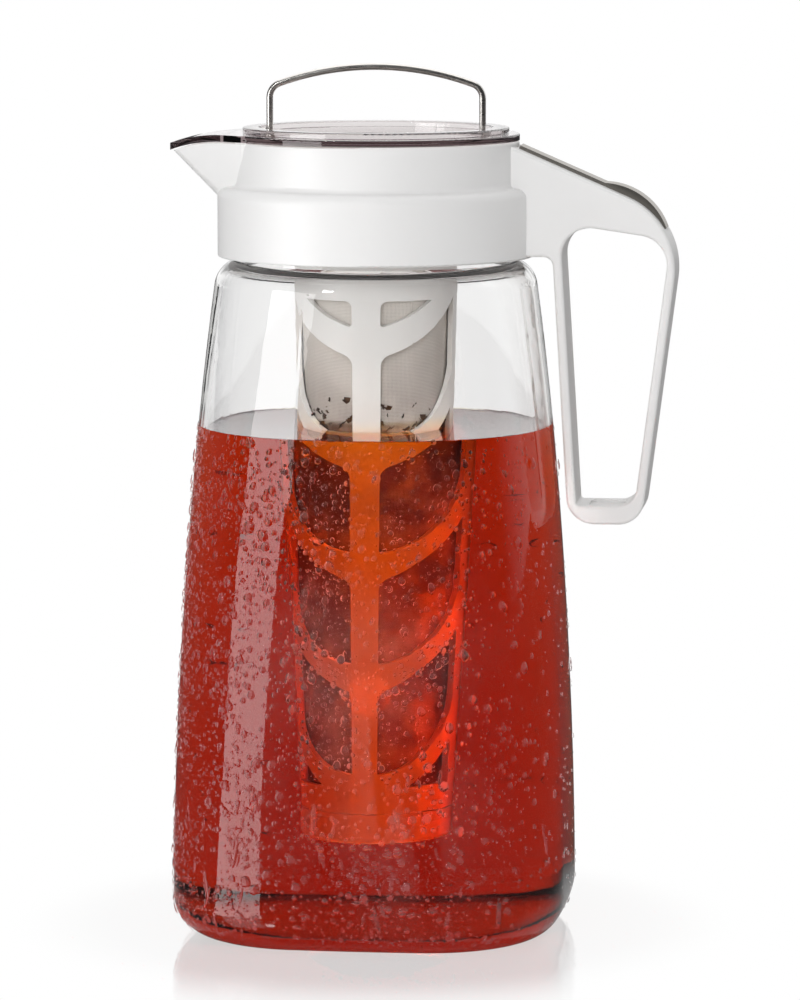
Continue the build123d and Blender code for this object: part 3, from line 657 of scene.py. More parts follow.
@dataclass(frozen=True)
class SteepedLeaf:
    """Wet, dark tea leaf."""

    name: str
    dark: tuple[float, float, float, float]
    light: tuple[float, float, float, float]
    roughness: float = 0.34
    tone_scale: float = 320.0
    tone_edge: tuple[float, float] = (0.4, 0.7)
    grain_depth: float = 0.0002
    grain_strength: float = 0.6

    def make(self, effects: Effects) -> bpy.types.Material:
        """Builds the material.

        Args:
            effects: The shared effects, of which the leaf uses the grain.

        Returns:
            The material.
        """
        material, graph, out = new_material(self.name)
        place = graph.place()
        tone = graph.add("TexNoise", {"Vector": place, "Scale": self.tone_scale, "Detail": 3.0})
        colour = graph.blend(graph.fade(tone.outputs["Fac"], *self.tone_edge), self.dark, self.light)
        grain = graph.add("Group", node_tree=effects.grain)
        normal = graph.bump(grain.outputs["Height"], self.grain_depth, self.grain_strength)
        shader = graph.add("BsdfPrincipled", {
            "Base Color": colour,
            "Roughness": self.roughness,
            "Normal": normal,
        })
        graph.show(shader, out)
        return material


# ---------------------------------------------------------------- modelling by hand
def choose(piece: bpy.types.Object | None = None) -> None:
    """Selects one piece and nothing else, or nothing at all."""
    bpy.ops.object.select_all(action="DESELECT")
    if piece:
        bpy.context.view_layer.objects.active = piece
        piece.select_set(True)


def fix_place(piece: bpy.types.Object) -> None:
    """Moves the piece's place and turn into its mesh."""
    piece.data.transform(piece.matrix_world)
    piece.matrix_world = Matrix.Identity(4)


@contextmanager
def editing(piece: bpy.types.Object, mode: str = "FACE") -> Iterator[bmesh.types.BMesh]:
    """Edit mode on one piece, with nothing selected.

    Args:
        piece: The mesh object.
        mode: What is selected: VERT, EDGE or FACE.

    Yields:
        The mesh being edited.
    """
    choose(piece)
    bpy.ops.object.mode_set(mode="EDIT")
    bpy.ops.mesh.select_mode(type=mode)
    bpy.ops.mesh.select_all(action="DESELECT")
    yield bmesh.from_edit_mesh(piece.data)
    bpy.ops.object.mode_set(mode="OBJECT")


def cut_above(height: float, filled: bool = False) -> None:
    """Cuts away what is above a height, in edit mode.

    Args:
        height: The height.
        filled: Whether the cut is closed with a face.
    """
    bpy.ops.mesh.select_all(action="SELECT")
    bpy.ops.mesh.bisect(plane_co=(0, 0, height), plane_no=(0, 0, 1), use_fill=filled, clear_outer=True)


def pick(piece: bpy.types.Object, test: Callable[[Vector, Vector], bool], kind: str = "faces") -> int:
    """Selects parts of the piece in edit mode by their place and normal.

    Args:
        piece: The mesh object, in edit mode.
        test: Says from a centre and a normal whether it is selected.
        kind: faces or verts.

    Returns:
        How many are selected.
    """
    mesh = bmesh.from_edit_mesh(piece.data)
    count = 0
    for item in getattr(mesh, kind):
        place = item.calc_center_median() if kind == "faces" else item.co
        chosen = test(place, item.normal)
        item.select_set(chosen)
        count += chosen
    mesh.select_flush_mode()
    bmesh.update_edit_mesh(piece.data)
    return count


def apply_modifiers(piece: bpy.types.Object) -> None:
    """Applies the piece's modifiers in order."""
    choose(piece)
    for modifier in list(piece.modifiers):
        bpy.ops.object.modifier_apply(modifier=modifier.name)


def smooth(piece: bpy.types.Object, angle: float = SMOOTH_ANGLE) -> None:
    """Smooth shading, with edges sharper than the angle kept."""
    choose(piece)
    bpy.ops.object.shade_smooth_by_angle(angle=angle)


def copy_of(node: str, name: str) -> bpy.types.Object:
    """A merged copy of a solid's mesh, to cut a new piece from.

    Args:
        node: Name of the solid.
        name: Name of the new piece.

    Returns:
        The new piece, with no material.
    """
    piece = bpy.data.objects.new(name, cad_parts[node].data.copy())
    bpy.context.scene.collection.objects.link(piece)
    piece.data.materials.clear()
    with editing(piece):
        bpy.ops.mesh.select_all(action="SELECT")
        bpy.ops.mesh.remove_doubles(threshold=MERGE_DISTANCE)
        bpy.ops.mesh.customdata_custom_splitnormals_clear()
    return piece


def settle(piece: bpy.types.Object, name: str, material: bpy.types.Material, body: Body) -> bpy.types.Object:
    """Names, dresses and seats a finished piece, with its place in its mesh.

    Args:
        piece: The mesh object.
        name: Its name.
        material: Its finish.
        body: The body it rides on.

    Returns:
        The piece.
    """
    piece.name = name
    piece.data.name = name
    fix_place(piece)
    piece.data.materials.clear()
    piece.data.materials.append(material)
    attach(piece, body.value)
    log.info("%s: %d faces", name, len(piece.data.polygons))
    return piece


def mesh_from(points: np.ndarray, faces: list[list[int]], name: str) -> bpy.types.Object:
    """A mesh object from points and faces.

    Args:
        points: The points.
        faces: Indices of each face's points.
        name: The object's name.

    Returns:
        The object.
    """
    mesh = bpy.data.meshes.new(name)
    mesh.from_pydata(points.tolist(), [], faces)
    mesh.update()
    piece = bpy.data.objects.new(name, mesh)
    bpy.context.scene.collection.objects.link(piece)
    return piece


def many(template: bpy.types.Object, places: list[Matrix], name: str) -> bpy.types.Object:
    """One mesh of many placed copies of a template, which is removed.

    Args:
        template: The modelled shape.
        places: A matrix for each copy.
        name: Name of the new mesh.

    Returns:
        The new object.
    """
    shape = np.array([v.co for v in template.data.vertices])
    outline = [list(p.vertices) for p in template.data.polygons]
    points, faces = [], []
    for number, place in enumerate(places):
        matrix = np.array(place)
        points.append(shape @ matrix[:3, :3].T + matrix[:3, 3])
        start = number * len(shape)
        faces.extend([start + index for index in face] for face in outline)
    bpy.data.objects.remove(template)
    return mesh_from(np.vstack(points), faces, name)


# ---------------------------------------------------------------- the wall of the jug
class JugWall:
    """Outer surface of the jug, found by rays towards the axis."""

    def __init__(self) -> None:
        """Reads the jug's mesh."""
        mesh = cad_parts["jug"].data
        points = [v.co.copy() for v in mesh.vertices]
        self.tree = BVHTree.FromPolygons(points, [p.vertices[:] for p in mesh.polygons])
        self.reach = 0.2

    def at(self, angle: float, height: float) -> tuple[Vector, Vector]:
        """Point and normal of the outer wall.

        Args:
            angle: Radians about Z from +X.
            height: Height above the foot.

        Returns:
            The point and the outward normal.
        """
        away = Vector((math.cos(angle), math.sin(angle), 0.0))
        point, normal, _, _ = self.tree.ray_cast(away * self.reach + Vector((0, 0, height)), -away)
        return point, (normal if normal.dot(away) > 0 else -normal)


# ---------------------------------------------------------------- tea
@dataclass
class Tea:
    """The tea in the jug, which climbs the wall in a meniscus."""

    level: float = 0.1532
    climb: float = 0.0005
    overlap: float = 0.00012
    ball_radius: float = 0.02
    ball_height: float = 0.06
    ball_cut: float = 0.925
    flat: float = 0.99
    segments: int = 168
    rings: int = 250
    steps: tuple[tuple[float, float], ...] = ((0.0006, 0.00025), (0.0010, 0.00015), (0.0016, 0.0001))
    finish: PouredLiquid = field(default_factory=lambda: PouredLiquid(
        "tea_liquid", ior=1.333, absorbed=rgb(0.927, 0.69, 0.0), density=150.0, line=0.15))

    def build(self) -> bpy.types.Object:
        """Blows a ball up to the inner wall of the jug and cuts it level, with a meniscus.

        Returns:
            The piece.
        """
        choose()
        bpy.ops.mesh.primitive_uv_sphere_add(segments=self.segments, ring_count=self.rings,
                                             radius=self.ball_radius, location=(0, 0, self.ball_height))
        piece = bpy.context.object
        fix_place(piece)
        with editing(piece):
            cut_above(self.ball_height + self.ball_cut * self.ball_radius)
        wrap = piece.modifiers.new("wrap", "SHRINKWRAP")
        wrap.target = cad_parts["jug"]
        wrap.wrap_method = "PROJECT"
        apply_modifiers(piece)
        with editing(piece):
            cut_above(self.level + self.climb, filled=True)
            bpy.ops.mesh.select_all(action="SELECT")
            bpy.ops.transform.shrink_fatten(value=self.overlap)
            pick(piece, lambda place, normal: normal.z > self.flat and place.z > self.level)
            for inward, drop in self.steps:
                bpy.ops.mesh.inset(thickness=inward, depth=-drop, use_even_offset=False)
        smooth(piece, ROUND_ANGLE)
        return piece

    def make(self, effects: Effects) -> bpy.types.Object:
        """Builds, dresses and seats the tea.

        Args:
            effects: The shared effects.

        Returns:
            The piece.
        """
        return settle(self.build(), "tea", self.finish.make(effects), Body.JUG)


# ---------------------------------------------------------------- dew on the jug
@dataclass(frozen=True)
class DropSize:
    """One size of drop on the wall: how many there are, how large, long and high they are, and how far up."""

    name: str
    count: int
    least: float
    most: float
    longest: float
    height: float
    segments: int
    rings: int
    seed: int
    top: float = 1.0


@dataclass
class Dew:
    """Drops and mist on the outside of the jug, up to the level of the cold tea.

    The jug is wettest where it faces wet_side, and dry_share of that on the far side. A drop is a ball
    of radius 1 cut at drop_cut and flattened. Below drop_belly, drop_sag makes it wider and fuller.
    """

    wall: JugWall
    line: float
    lowest: float = 0.004
    lift: float = 0.00006
    foot_lean: float = -0.9
    wet_side: tuple[float, float, float] = (-0.53, -0.85, 0.0)
    dry_share: float = 0.03
    wet_falloff: float = 3.0
    patch_scale: float = 55.0
    patch_level: float = 0.8
    small_bias: float = 2.2
    spacing: float = 1.15
    tries: int = 6
    tilt: float = 0.35
    drop_cut: float = -0.2
    drop_belly: float = -0.1
    drop_sag: tuple[float, float, float] = (1.12, 1.0, 1.15)
    sizes: tuple[DropSize, ...] = (
        DropSize("drop_runs", 80, 0.0005, 0.0009, 9.0, 0.26, 8, 8, 10, top=0.36),
        DropSize("drops_large", 700, 0.0008, 0.00150, 1.5, 0.26, 10, 7, 11),
        DropSize("drops_medium", 3200, 0.00040, 0.00085, 1.3, 0.27, 8, 5, 13),
        DropSize("drops_small", 4600, 0.00018, 0.00042, 1.2, 0.30, 6, 4, 12),
    )
    water: FilledWall = field(default_factory=lambda: FilledWall(
        "dew_water", ior=1.333, absorbed=grey(1), density=0.0, line=1.0, floor=-1.0))

    def template(self, size: DropSize) -> bpy.types.Object:
        """Models one drop of radius 1, with its flat side a little under z = 0.

        Args:
            size: The drop's size.

        Returns:
            The drop.
        """
        choose()
        bpy.ops.mesh.primitive_uv_sphere_add(segments=size.segments, ring_count=size.rings, radius=1)
        drop = bpy.context.object
        with editing(drop, "VERT"):
            bpy.ops.mesh.select_all(action="SELECT")
            bpy.ops.mesh.bisect(plane_co=(0, 0, self.drop_cut), plane_no=(0, 0, -1), use_fill=True,
                                clear_outer=True)
            bpy.ops.mesh.select_all(action="SELECT")
            bpy.ops.transform.resize(value=(1, 1, size.height))
            pick(drop, lambda place, normal: place.y < self.drop_belly, "verts")
            bpy.ops.transform.resize(value=self.drop_sag, center_override=(0, 0, 0))
        return drop

    def places(self, size: DropSize) -> list[Matrix]:
        """Random places on the wall, clear of each other, in denser and thinner patches.

        Args:
            size: The drops' size.

        Returns:
            A matrix for each drop.
        """
        chance = random.Random(size.seed)
        taken: dict[tuple[int, int, int], list[tuple[Vector, float]]] = {}
        cell = 2 * size.most * size.longest
        found: list[Matrix] = []
        for _ in range(size.count * self.tries):
            if len(found) == size.count:
                break
            angle = chance.uniform(-math.pi, math.pi)
            height = chance.uniform(self.lowest, self.line * size.top)
            radius = size.least + (size.most - size.least) * chance.random() ** self.small_bias
            point, normal = self.wall.at(angle, height)
            facing = max(0.0, 0.5 + 0.5 * normal.dot(Vector(self.wet_side)))
            share = self.dry_share + (1 - self.dry_share) * facing ** self.wet_falloff
            if share * (noise.noise(point * self.patch_scale) + self.patch_level) < chance.random():
                continue
            key = tuple(int(math.floor(c / cell)) for c in point)
            near = [item for dx in (-1, 0, 1) for dy in (-1, 0, 1) for dz in (-1, 0, 1)
                    for item in taken.get((key[0] + dx, key[1] + dy, key[2] + dz), ())]
            if any((other - point).length < self.spacing * (reach + radius) for other, reach in near):
                continue
            taken.setdefault(key, []).append((point, radius))
            side = Vector((0, 0, 1)).cross(normal).normalized()
            up = normal.cross(side)
            turn = Matrix((side, up, normal)).transposed().to_4x4()
            stretch = 1 + (size.longest - 1) * chance.random() * radius / size.most
            tilt = Matrix.Rotation(chance.uniform(-self.tilt, self.tilt), 4, "Z")
            scale = Matrix.Diagonal((radius, radius * stretch, radius, 1.0))
            found.append(Matrix.Translation(point) @ turn @ tilt @ scale)
        return found

    def drops(self, size: DropSize, effects: Effects) -> bpy.types.Object:
        """Builds, dresses and seats the drops of one size.

        Args:
            size: The drops' size.
            effects: The shared effects.

        Returns:
            The piece.
        """
        piece = many(self.template(size), self.places(size), size.name)
        smooth(piece, DROP_ANGLE)
        return settle(piece, size.name, self.water_material(effects), Body.JUG)

    def water_material(self, effects: Effects) -> bpy.types.Material:
        """The drops' finish, made once."""
        return bpy.data.materials.get(self.water.name) or self.water.make(effects)

    def mist(self, effects: Effects) -> bpy.types.Object:
        """Builds, dresses and seats the film of mist.

        Args:
            effects: The shared effects.

        Returns:
            The piece.
        """
        piece = copy_of("jug", "mist")
        with editing(piece):
            pick(piece, lambda place, normal: (normal.x * place.x + normal.y * place.y <= 0
                                               or normal.z < self.foot_lean))
            bpy.ops.mesh.delete(type="FACE")
            cut_above(self.line)
            bpy.ops.mesh.select_all(action="SELECT")
            bpy.ops.transform.shrink_fatten(value=self.lift)
        smooth(piece)
        finish = Fog("mist_film", line=self.line)
        return settle(piece, "mist", finish.make(effects), Body.JUG)

    def make(self, effects: Effects) -> None:
        """Builds all the dew.

        Args:
            effects: The shared effects.
        """
        self.mist(effects)
        for size in self.sizes:
            self.drops(size, effects)


# ---------------------------------------------------------------- filter sleeve and leaves
@dataclass
class FilterSleeve:
    """Sleeve of nylon mesh inside the infuser's frame, with soft creases that are nearly upright."""

    segments: int = 120
    rows: int = 70
    thick: float = 0.00014
    pucker: float = 0.00055
    creases: int = 9
    crease_slant: float = 60.0
    crease_wander: float = 2.5
    crease_noise: tuple[float, float, float] = (5.0, 38.0, 0.3)
    least_crease: float = 0.35
    band_height: float = 0.1928
    stain_line: float = 0.153

    def build(self) -> bpy.types.Object:
        """Models the sleeve in the space of its solid.

        Returns:
            The piece.
        """
        low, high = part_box("filter_mesh")
        radius = high.x - self.thick
        share = self.foot_share()
        choose()
        middle = (0, 0, (self.band_height + low.z) / 2)
        bpy.ops.mesh.primitive_cylinder_add(vertices=self.segments, radius=radius, location=middle,
                                            depth=self.band_height - low.z, end_fill_type="NOTHING")
        piece = bpy.context.object
        fix_place(piece)
        with editing(piece, "VERT"):
            pick(piece, lambda place, normal: place.z < self.band_height - MM, "verts")
            bpy.ops.transform.resize(value=(share, share, 1), center_override=(0, 0, low.z))
        self.cut_rows(piece, low.z, self.band_height, self.rows)
        with editing(piece, "VERT"):
            pick(piece, lambda place, normal: place.z > self.band_height - MM / 10, "verts")
            rise = (0, 0, high.z - self.band_height)
            bpy.ops.mesh.extrude_region_move(TRANSFORM_OT_translate={"value": rise})
        self.cut_rows(piece, self.band_height, high.z, self.rows // 5)
        self.crease(piece)
        wall = piece.modifiers.new("wall", "SOLIDIFY")
        wall.thickness = self.thick
        wall.offset = -1
        apply_modifiers(piece)
        smooth(piece, ROUND_ANGLE)
        return piece

    def foot_share(self) -> float:
        """Radius of the sleeve's foot as a share of its radius at the band."""
        points = [v.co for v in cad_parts["filter_mesh"].data.vertices]
        foot = min(point.z for point in points)
        at_foot = max(math.hypot(point.x, point.y) for point in points if point.z < foot + MM / 10)
        return at_foot / max(math.hypot(point.x, point.y) for point in points)

    def cut_rows(self, piece: bpy.types.Object, low: float, high: float, rows: int) -> None:
        """Cuts the sleeve into rows.

        Args:
            piece: The sleeve.
            low: Lowest height.
            high: Highest height.
            rows: How many rows.
        """
        for row in range(1, rows):
            with editing(piece):
                bpy.ops.mesh.select_all(action="SELECT")
                bpy.ops.mesh.bisect(plane_co=(0, 0, low + (high - low) * row / rows), plane_no=(0, 0, 1))

    def crease(self, piece: bpy.types.Object) -> None:
        """Draws the cloth in, in soft creases that lean a little and wander."""
        for vertex in piece.data.vertices:
            place = vertex.co
            turn = math.atan2(place.y, place.x)
            around, up, across = self.crease_noise
            wave = noise.noise(Vector((turn * around, place.z * up, across)))
            slant = place.z * self.crease_slant
            fold = max(0.0, math.sin(turn * self.creases + slant + self.crease_wander * wave)) ** 3
            depth = self.pucker * (self.least_crease + (1 - self.least_crease) * fold) * (0.5 + 0.5 * wave)
            share = 1 - max(0.0, depth) / math.hypot(place.x, place.y)
            vertex.co.x *= share
            vertex.co.y *= share

    def make(self, effects: Effects) -> bpy.types.Object:
        """Builds, dresses and seats the sleeve.

        Args:
            effects: The shared effects.

        Returns:
            The piece.
        """
        finish = NylonWeave("nylon_sleeve", colour=rgb(0.84, 0.79, 0.735), stain=rgb(0.075, 0.035, 0.026),
                            radius=0.0225, pitch=0.00042, stain_line=self.stain_line)
        piece = settle(self.build(), "filter_sleeve", finish.make(effects), Body.INFUSER)
        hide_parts("filter_mesh")
        low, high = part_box("filter_mesh")
        around = math.pi * high.x * (1 + self.foot_share())
        return piece


@dataclass
class TeaLeaves:
    """Steeped leaves inside the sleeve: a raft at the surface, some that cling above it, and more below.

    The three gaps are how far each kind keeps from the sleeve.
    """

    level: float = 0.1532
    raft: int = 170
    cling: int = 260
    sunk: int = 520
    lowest: float = 0.046
    inner_share: float = 0.93
    foot_share: float = 0.82
    raft_height: float = 0.0035
    raft_dip: float = 0.001
    raft_gap: float = 0.0035
    cling_height: float = 0.0095
    cling_gap: float = 0.0024
    sunk_gap: float = 0.0042
    raft_lean: float = 0.5
    other_lean: float = 1.6
    lengths: tuple[float, float] = (0.0022, 0.0052)
    width: float = 0.42
    tip_from: float = 0.4
    tip_width: float = 0.45
    tip_curl: float = 0.22
    edge_from: float = 0.08
    edge_curl: float = 0.08
    thick: float = 0.07
    seed: int = 5

    def template(self) -> bpy.types.Object:
        """Models one curled shred of leaf, 1 long.

        Returns:
            The shred.
        """
        choose()
        bpy.ops.mesh.primitive_grid_add(x_subdivisions=4, y_subdivisions=2, size=1)
        leaf = bpy.context.object
        with editing(leaf, "VERT"):
            bpy.ops.mesh.select_all(action="SELECT")
            bpy.ops.transform.resize(value=(1, self.width, 1), center_override=(0, 0, 0))
            pick(leaf, lambda place, normal: abs(place.x) > self.tip_from, "verts")
            bpy.ops.transform.resize(value=(1, self.tip_width, 1), center_override=(0, 0, 0))
            bpy.ops.transform.translate(value=(0, 0, self.tip_curl))
            pick(leaf, lambda place, normal: abs(place.y) > self.edge_from, "verts")
            bpy.ops.transform.translate(value=(0, 0, self.edge_curl))
        wall = leaf.modifiers.new("wall", "SOLIDIFY")
        wall.thickness = self.thick
        apply_modifiers(leaf)
        return leaf

    def places(self) -> list[Matrix]:
        """Random places inside the sleeve.

        Returns:
            A matrix for each shred.
        """
        chance = random.Random(self.seed)
        _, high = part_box("filter_mesh")
        found = []
        for number in range(self.raft + self.cling + self.sunk):
            floats = number < self.raft
            angle = chance.uniform(-math.pi, math.pi)
            if floats:
                height = self.level + self.raft_height * abs(chance.gauss(0, 0.5)) - self.raft_dip
                away = (high.x - self.raft_gap) * math.sqrt(chance.random())
            elif number < self.raft + self.cling:
                height = self.level + self.cling_height * chance.random() ** 2.0
                away = high.x - self.cling_gap
            else:
                height = chance.uniform(self.lowest, self.level)
                rise = (height - self.lowest) / (self.level - self.lowest)
                taper = self.foot_share + (1 - self.foot_share) * rise
                away = (high.x * taper - self.sunk_gap) * self.inner_share * chance.random() ** 0.25
            length = chance.uniform(*self.lengths)
            turn = Matrix.Rotation(chance.uniform(0, math.tau), 4, "Z")
            most = self.raft_lean if floats else self.other_lean
            lean = Matrix.Rotation(chance.uniform(-most, most), 4, "X")
            place = Matrix.Translation((away * math.cos(angle), away * math.sin(angle), height))
            found.append(place @ turn @ lean @ Matrix.Scale(length, 4))
        return found

    def make(self, effects: Effects) -> bpy.types.Object:
        """Builds, dresses and seats the leaves.

        Args:
            effects: The shared effects.

        Returns:
            The piece.
        """
        piece = many(self.template(), self.places(), "tea_leaves")
        smooth(piece)
        finish = SteepedLeaf("steeped_leaf", dark=rgb(0.018, 0.010, 0.007), light=rgb(0.085, 0.040, 0.020))
        return settle(piece, "tea_leaves", finish.make(effects), Body.INFUSER)


# ---------------------------------------------------------------- finishes of the solids
@dataclass
class RigidFinishes:
    """Finishes of the pieces whose solids are shown."""

    # The collar's inner and lower faces near the axis get a painted glow of strength 0.3.
    white: MouldedPlastic = MouldedPlastic("white_moulding", rgb(0.86, 0.855, 0.85), 0.42,
                                           painted_glow_strength=0.3)
    infuser_white: MouldedPlastic = MouldedPlastic("infuser_moulding", rgb(0.89, 0.88, 0.86), 0.40)
    rubber: MouldedPlastic = MouldedPlastic("seal_rubber", rgb(0.66, 0.66, 0.65), 0.55, grain_scale=500.0)
    steel: BrushedSteel = BrushedSteel("drawn_steel", rgb(0.66, 0.64, 0.61), 0.20, 0.000003)
    strip: BrushedSteel = BrushedSteel("satin_strip", rgb(0.40, 0.375, 0.34), 0.30, 0.00001)
    clear: FilledWall = FilledWall("clear_wall", 1.5, rgb(0.72, 0.71, 0.68), 30.0, line=0.1537)
    smoke: ClearMedium = ClearMedium("smoke_tint", 1.52, rgb(0.52, 0.44, 0.45), 58.0,
                                     colour=rgb(0.97, 0.95, 0.945))

    def make(self, effects: Effects) -> None:
        """Gives each shown solid its finish.

        Args:
            effects: The shared effects.
        """
        chosen = {
            self.clear: ("jug",),
            self.white: ("collar",),
            self.infuser_white: ("infuser_frame", "infuser_base"),
            self.smoke: ("lid",),
            self.steel: ("bail_handle",),
            self.strip: ("thumb_strip",),
            self.rubber: ("neck_gasket", "lid_gasket"),
        }
        for finish, nodes in chosen.items():
            material = finish.make(effects)
            for node in nodes:
                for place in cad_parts[node].material_slots:
                    place.material = material
                log.info("%s: %s", node, finish.name)


# ---------------------------------------------------------------- studio
@dataclass(frozen=True)
class SoftLamp:
    """Rectangular lamp that faces a point, seen in mirrors or lighting matt surfaces or both."""

    name: str
    place: tuple[float, float, float]
    target: tuple[float, float, float]
    size: tuple[float, float]
    radiance: float
    mirrored: bool = False
    lights: bool = True
    spread: float = 180.0

    def make(self) -> bpy.types.Object:
        """Adds the lamp.

        Returns:
            The lamp.
        """
        data = bpy.data.lights.new(self.name, "AREA")
        data.shape = "RECTANGLE"
        data.size, data.size_y = self.size
        data.spread = math.radians(self.spread)
        data.energy = self.radiance * math.pi * self.size[0] * self.size[1]
        lamp = bpy.data.objects.new(self.name, data)
        bpy.context.scene.collection.objects.link(lamp)
        lamp.location = self.place
        lamp.rotation_euler = (Vector(self.place) - Vector(self.target)).to_track_quat("Z", "Y").to_euler()
        lamp.visible_camera = False
        lamp.visible_transmission = False
        lamp.visible_glossy = self.mirrored
        lamp.visible_diffuse = self.lights
        return lamp


@dataclass
class Studio:
    """White sweep, lamps and the camera at the photograph's angle."""

    camera_away: float = 1.580
    camera_height: float = 0.326
    camera_azimuth: float = 7.0
    camera_pitch: float = 7.07
    axis_pixels_left: float = 24.0
    focal_pixels: float = 5220.0
    picture_long_side: float = 1000.0
    sensor: float = 36.0
    ambient: float = 0.42
    inner_ambient: float = 1.0
    path_length: int = 24
    dim_left: tuple[float, float] = (-0.85, -0.45)
    dim_right: tuple[float, float] = (0.80, 0.99)
    dim_front: tuple[float, float] = (-0.10, 0.30)
    left_colour: tuple[float, float, float, float] = rgb(0.10, 0.10, 0.12)
    right_colour: tuple[float, float, float, float] = rgb(0.50, 0.50, 0.52)
    front_inside: float = 0.10
    front_outside: float = 0.03
    floor_size: float = 80.0
    floor_drop: float = 0.0003
    floor_white: float = 0.86
    floor_gloss: float = 0.33
    floor_roughness: float = 0.04
    floor_dimming: float = 0.94
    glow_near: float = 0.85
    glow_fade: tuple[float, float] = (0.07, 0.12)
    gloss_fade: tuple[float, float] = (0.085, 0.14)
    strip_radiance: float = 3.9
    strip_nearest: float = 0.02
    strip_plan: tuple[tuple[float, float], ...] = (
        (-0.075, -0.055), (-0.047, -0.088), (-0.241, -0.349), (-0.401, -0.144))
    lamps: tuple[SoftLamp, ...] = (
        SoftLamp("strip_left", (-0.331, -0.2586, 0.155), (0, 0, 0.155), (0.26, 0.36), 3.9,
                 mirrored=True, lights=False),
        SoftLamp("sparkle", (-0.55, -1.0, 0.75), (0, 0, 0.1), (0.16, 0.16), 24.0,
                 mirrored=True, lights=False),
        SoftLamp("fill_left", (-0.9, -0.45, 0.16), (0, 0, 0.17), (0.5, 0.5), 2.4),
        SoftLamp("key_front", (-0.16, -1.50, 0.38), (0, 0, 0.15), (0.8, 0.8), 4.5),
        SoftLamp("glow_high", (0.05, -0.85, 0.06), (0, 0, 0.100), (0.04, 0.04), 33.0, spread=8.0),
        SoftLamp("glow_low", (0.05, -0.85, 0.05), (0, 0, 0.050), (0.04, 0.04), 33.0, spread=8.0),
        SoftLamp("overhead", (0.0, 0.15, 1.25), (0, 0, 0.15), (1.2, 1.2), 1.0, mirrored=True),
    )

    def camera(self) -> None:
        """Adds the camera."""
        data = bpy.data.cameras.new("camera")
        data.sensor_width = self.sensor
        data.lens = self.focal_pixels * self.sensor / self.picture_long_side
        data.clip_end = 100.0
        eye = bpy.data.objects.new("camera", data)
        bpy.context.scene.collection.objects.link(eye)
        around = math.radians(self.camera_azimuth)
        heading = around - math.atan(self.axis_pixels_left / self.focal_pixels)
        across, back = self.camera_away * math.sin(around), -self.camera_away * math.cos(around)
        eye.location = (across, back, self.camera_height)
        eye.rotation_euler = (math.radians(90.0 - self.camera_pitch), 0.0, heading)
        bpy.context.scene.camera = eye

    def world(self) -> None:
        """White behind for the camera and glass, dim to the sides and, in reflections, at the front."""
        world = bpy.data.worlds.new("studio")
        bpy.context.scene.world = world
        world.use_nodes = True
        world.node_tree.nodes.clear()
        graph = Graph(world.node_tree)
        out = graph.add("OutputWorld")
        split = graph.add("SeparateXYZ", {0: graph.add("TexCoord").outputs["Generated"]})
        left = graph.fade(split.outputs[0], *self.dim_left, 1.0, 0.0)
        right = graph.fade(split.outputs[0], *self.dim_right)
        front = graph.fade(split.outputs[1], *self.dim_front, 1.0, 0.0)
        seen = graph.blend(left, grey(1), self.left_colour)
        seen = graph.blend(right, seen, self.right_colour)
        path = graph.add("LightPath")
        outside = graph.math("LESS_THAN", path.outputs["Transmission Depth"], NO_BOUNCE)
        dim = graph.blend(outside, grey(self.front_inside), grey(self.front_outside))
        turned = graph.math("GREATER_THAN", path.outputs["Glossy Depth"], NO_BOUNCE)
        seen = graph.blend(graph.math("MULTIPLY", front, turned), seen, dim)
        colour = graph.blend(path.outputs["Is Glossy Ray"], grey(self.ambient), seen)
        lit = graph.math("GREATER_THAN", path.outputs["Diffuse Depth"], NO_BOUNCE)
        inner = graph.blend(lit, seen, grey(self.inner_ambient))
        colour = graph.blend(path.outputs["Is Transmission Ray"], colour, inner)
        colour = graph.blend(path.outputs["Is Camera Ray"], colour, grey(1))
        light = graph.add("Background", {"Color": colour, "Strength": 1.0})
        graph.tree.links.new(light.outputs[0], out.inputs[0])

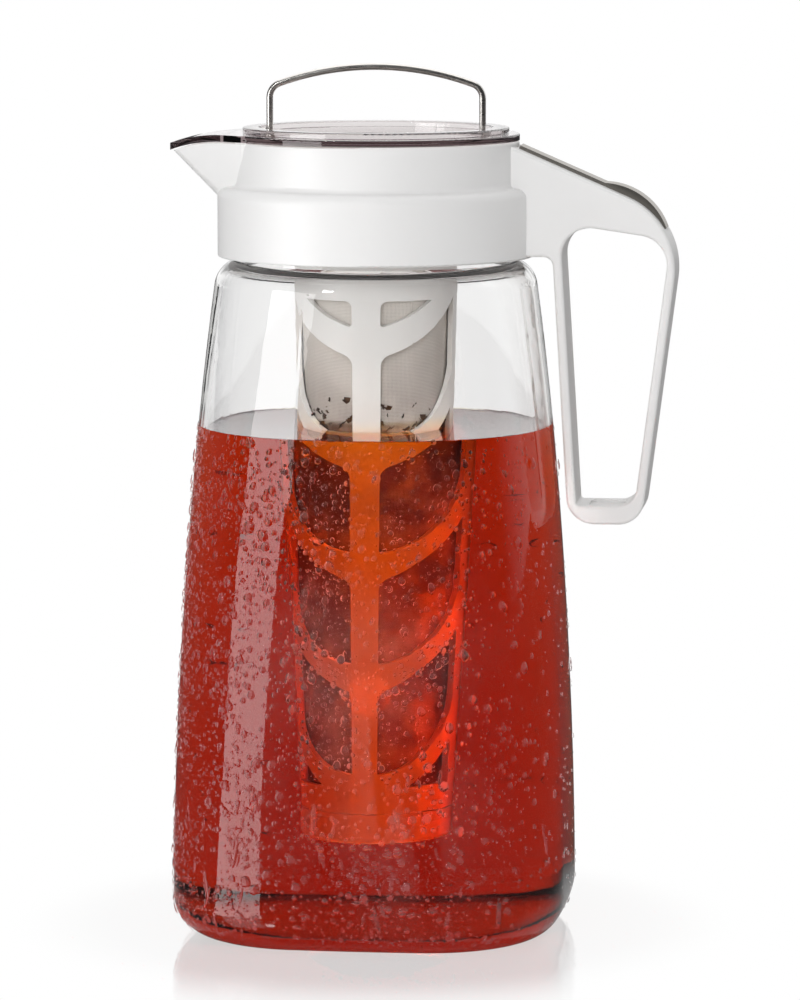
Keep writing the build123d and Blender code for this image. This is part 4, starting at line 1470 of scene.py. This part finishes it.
    def floor(self) -> None:
        """Adds the white floor, which mirrors the jug faintly and keeps its shadow."""
        choose()
        bpy.ops.mesh.primitive_plane_add(size=self.floor_size, location=(0, 0, -self.floor_drop))
        ground = bpy.context.object
        ground.name = "floor"
        material, graph, out = new_material("floor_white")
        place = graph.place()
        away = graph.add("VectorMath", {0: place}, operation="LENGTH").outputs["Value"]
        far = graph.fade(away, *self.glow_fade)
        path = graph.add("LightPath")
        outside = graph.math("LESS_THAN", path.outputs["Transmission Depth"], NO_BOUNCE)
        mirror = graph.math("MULTIPLY", path.outputs["Is Glossy Ray"], outside)
        shown = graph.math("MAXIMUM", path.outputs["Is Camera Ray"], path.outputs["Is Transmission Ray"])
        shown = graph.math("MAXIMUM", shown, path.outputs["Is Glossy Ray"])
        direct = graph.math("LESS_THAN", path.outputs["Diffuse Depth"], NO_BOUNCE)
        shown = graph.math("MULTIPLY", shown, direct)
        matt = graph.add("BsdfDiffuse", {"Color": grey(self.floor_white)})
        strength = graph.math("SUBTRACT", 1.0, graph.math("MULTIPLY", mirror, self.floor_dimming))
        white = graph.add("Emission", {"Color": grey(1), "Strength": strength})
        gloss = graph.add("BsdfGlossy", {"Color": grey(1), "Roughness": self.floor_roughness})
        share = graph.fade(far, 0.0, 1.0, self.glow_near, 1.0)
        base = graph.mix(share, matt, white)
        polish = graph.fade(away, *self.gloss_fade, self.floor_gloss, 0.0)
        polished = graph.mix(polish, base, gloss)
        whole = graph.mix(shown, matt, polished)
        graph.show(whole, out)
        ground.data.materials.append(material)

    def strip_on_floor(self) -> None:
        """Adds the strip lamp's glow on the floor, so that its streak on the jug runs to the foot.

        Only mirrors see it, and only from further off than strip_nearest, so that the floor, which lies
        just under it, doesn't show it.
        """
        points = np.array([(x, y, self.floor_drop) for x, y in self.strip_plan])
        card = mesh_from(points, [list(range(len(points)))], "strip_glow")
        material, graph, out = new_material("strip_light")
        glow = graph.add("Emission", {"Color": grey(1), "Strength": self.strip_radiance})
        reached = graph.add("LightPath").outputs["Ray Length"]
        from_afar = graph.math("GREATER_THAN", reached, self.strip_nearest)
        clear = graph.add("BsdfTransparent")
        mixed = graph.mix(from_afar, clear, glow)
        graph.show(mixed, out)
        card.data.materials.append(material)
        card.visible_camera = False
        card.visible_diffuse = False
        card.visible_transmission = False
        card.visible_shadow = False

    def make(self) -> None:
        """Builds the studio."""
        self.camera()
        self.world()
        self.floor()
        self.strip_on_floor()
        for lamp in self.lamps:
            lamp.make()
        scene = bpy.context.scene
        scene.view_settings.view_transform = "Standard"
        scene.cycles.max_bounces = self.path_length
        scene.cycles.glossy_bounces = self.path_length
        scene.cycles.transmission_bounces = self.path_length
        scene.cycles.transparent_max_bounces = self.path_length


def main() -> None:
    """Builds the looks around the solids."""
    logging.basicConfig(level=logging.INFO, format="%(name)s: %(message)s")
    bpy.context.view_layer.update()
    effects = Effects()
    Studio().make()
    RigidFinishes().make(effects)
    tea = Tea()
    tea.make(effects)
    FilterSleeve().make(effects)
    TeaLeaves(level=tea.level).make(effects)
    Dew(JugWall(), line=tea.level + tea.climb).make(effects)


if __name__ == "__main__":
    main()
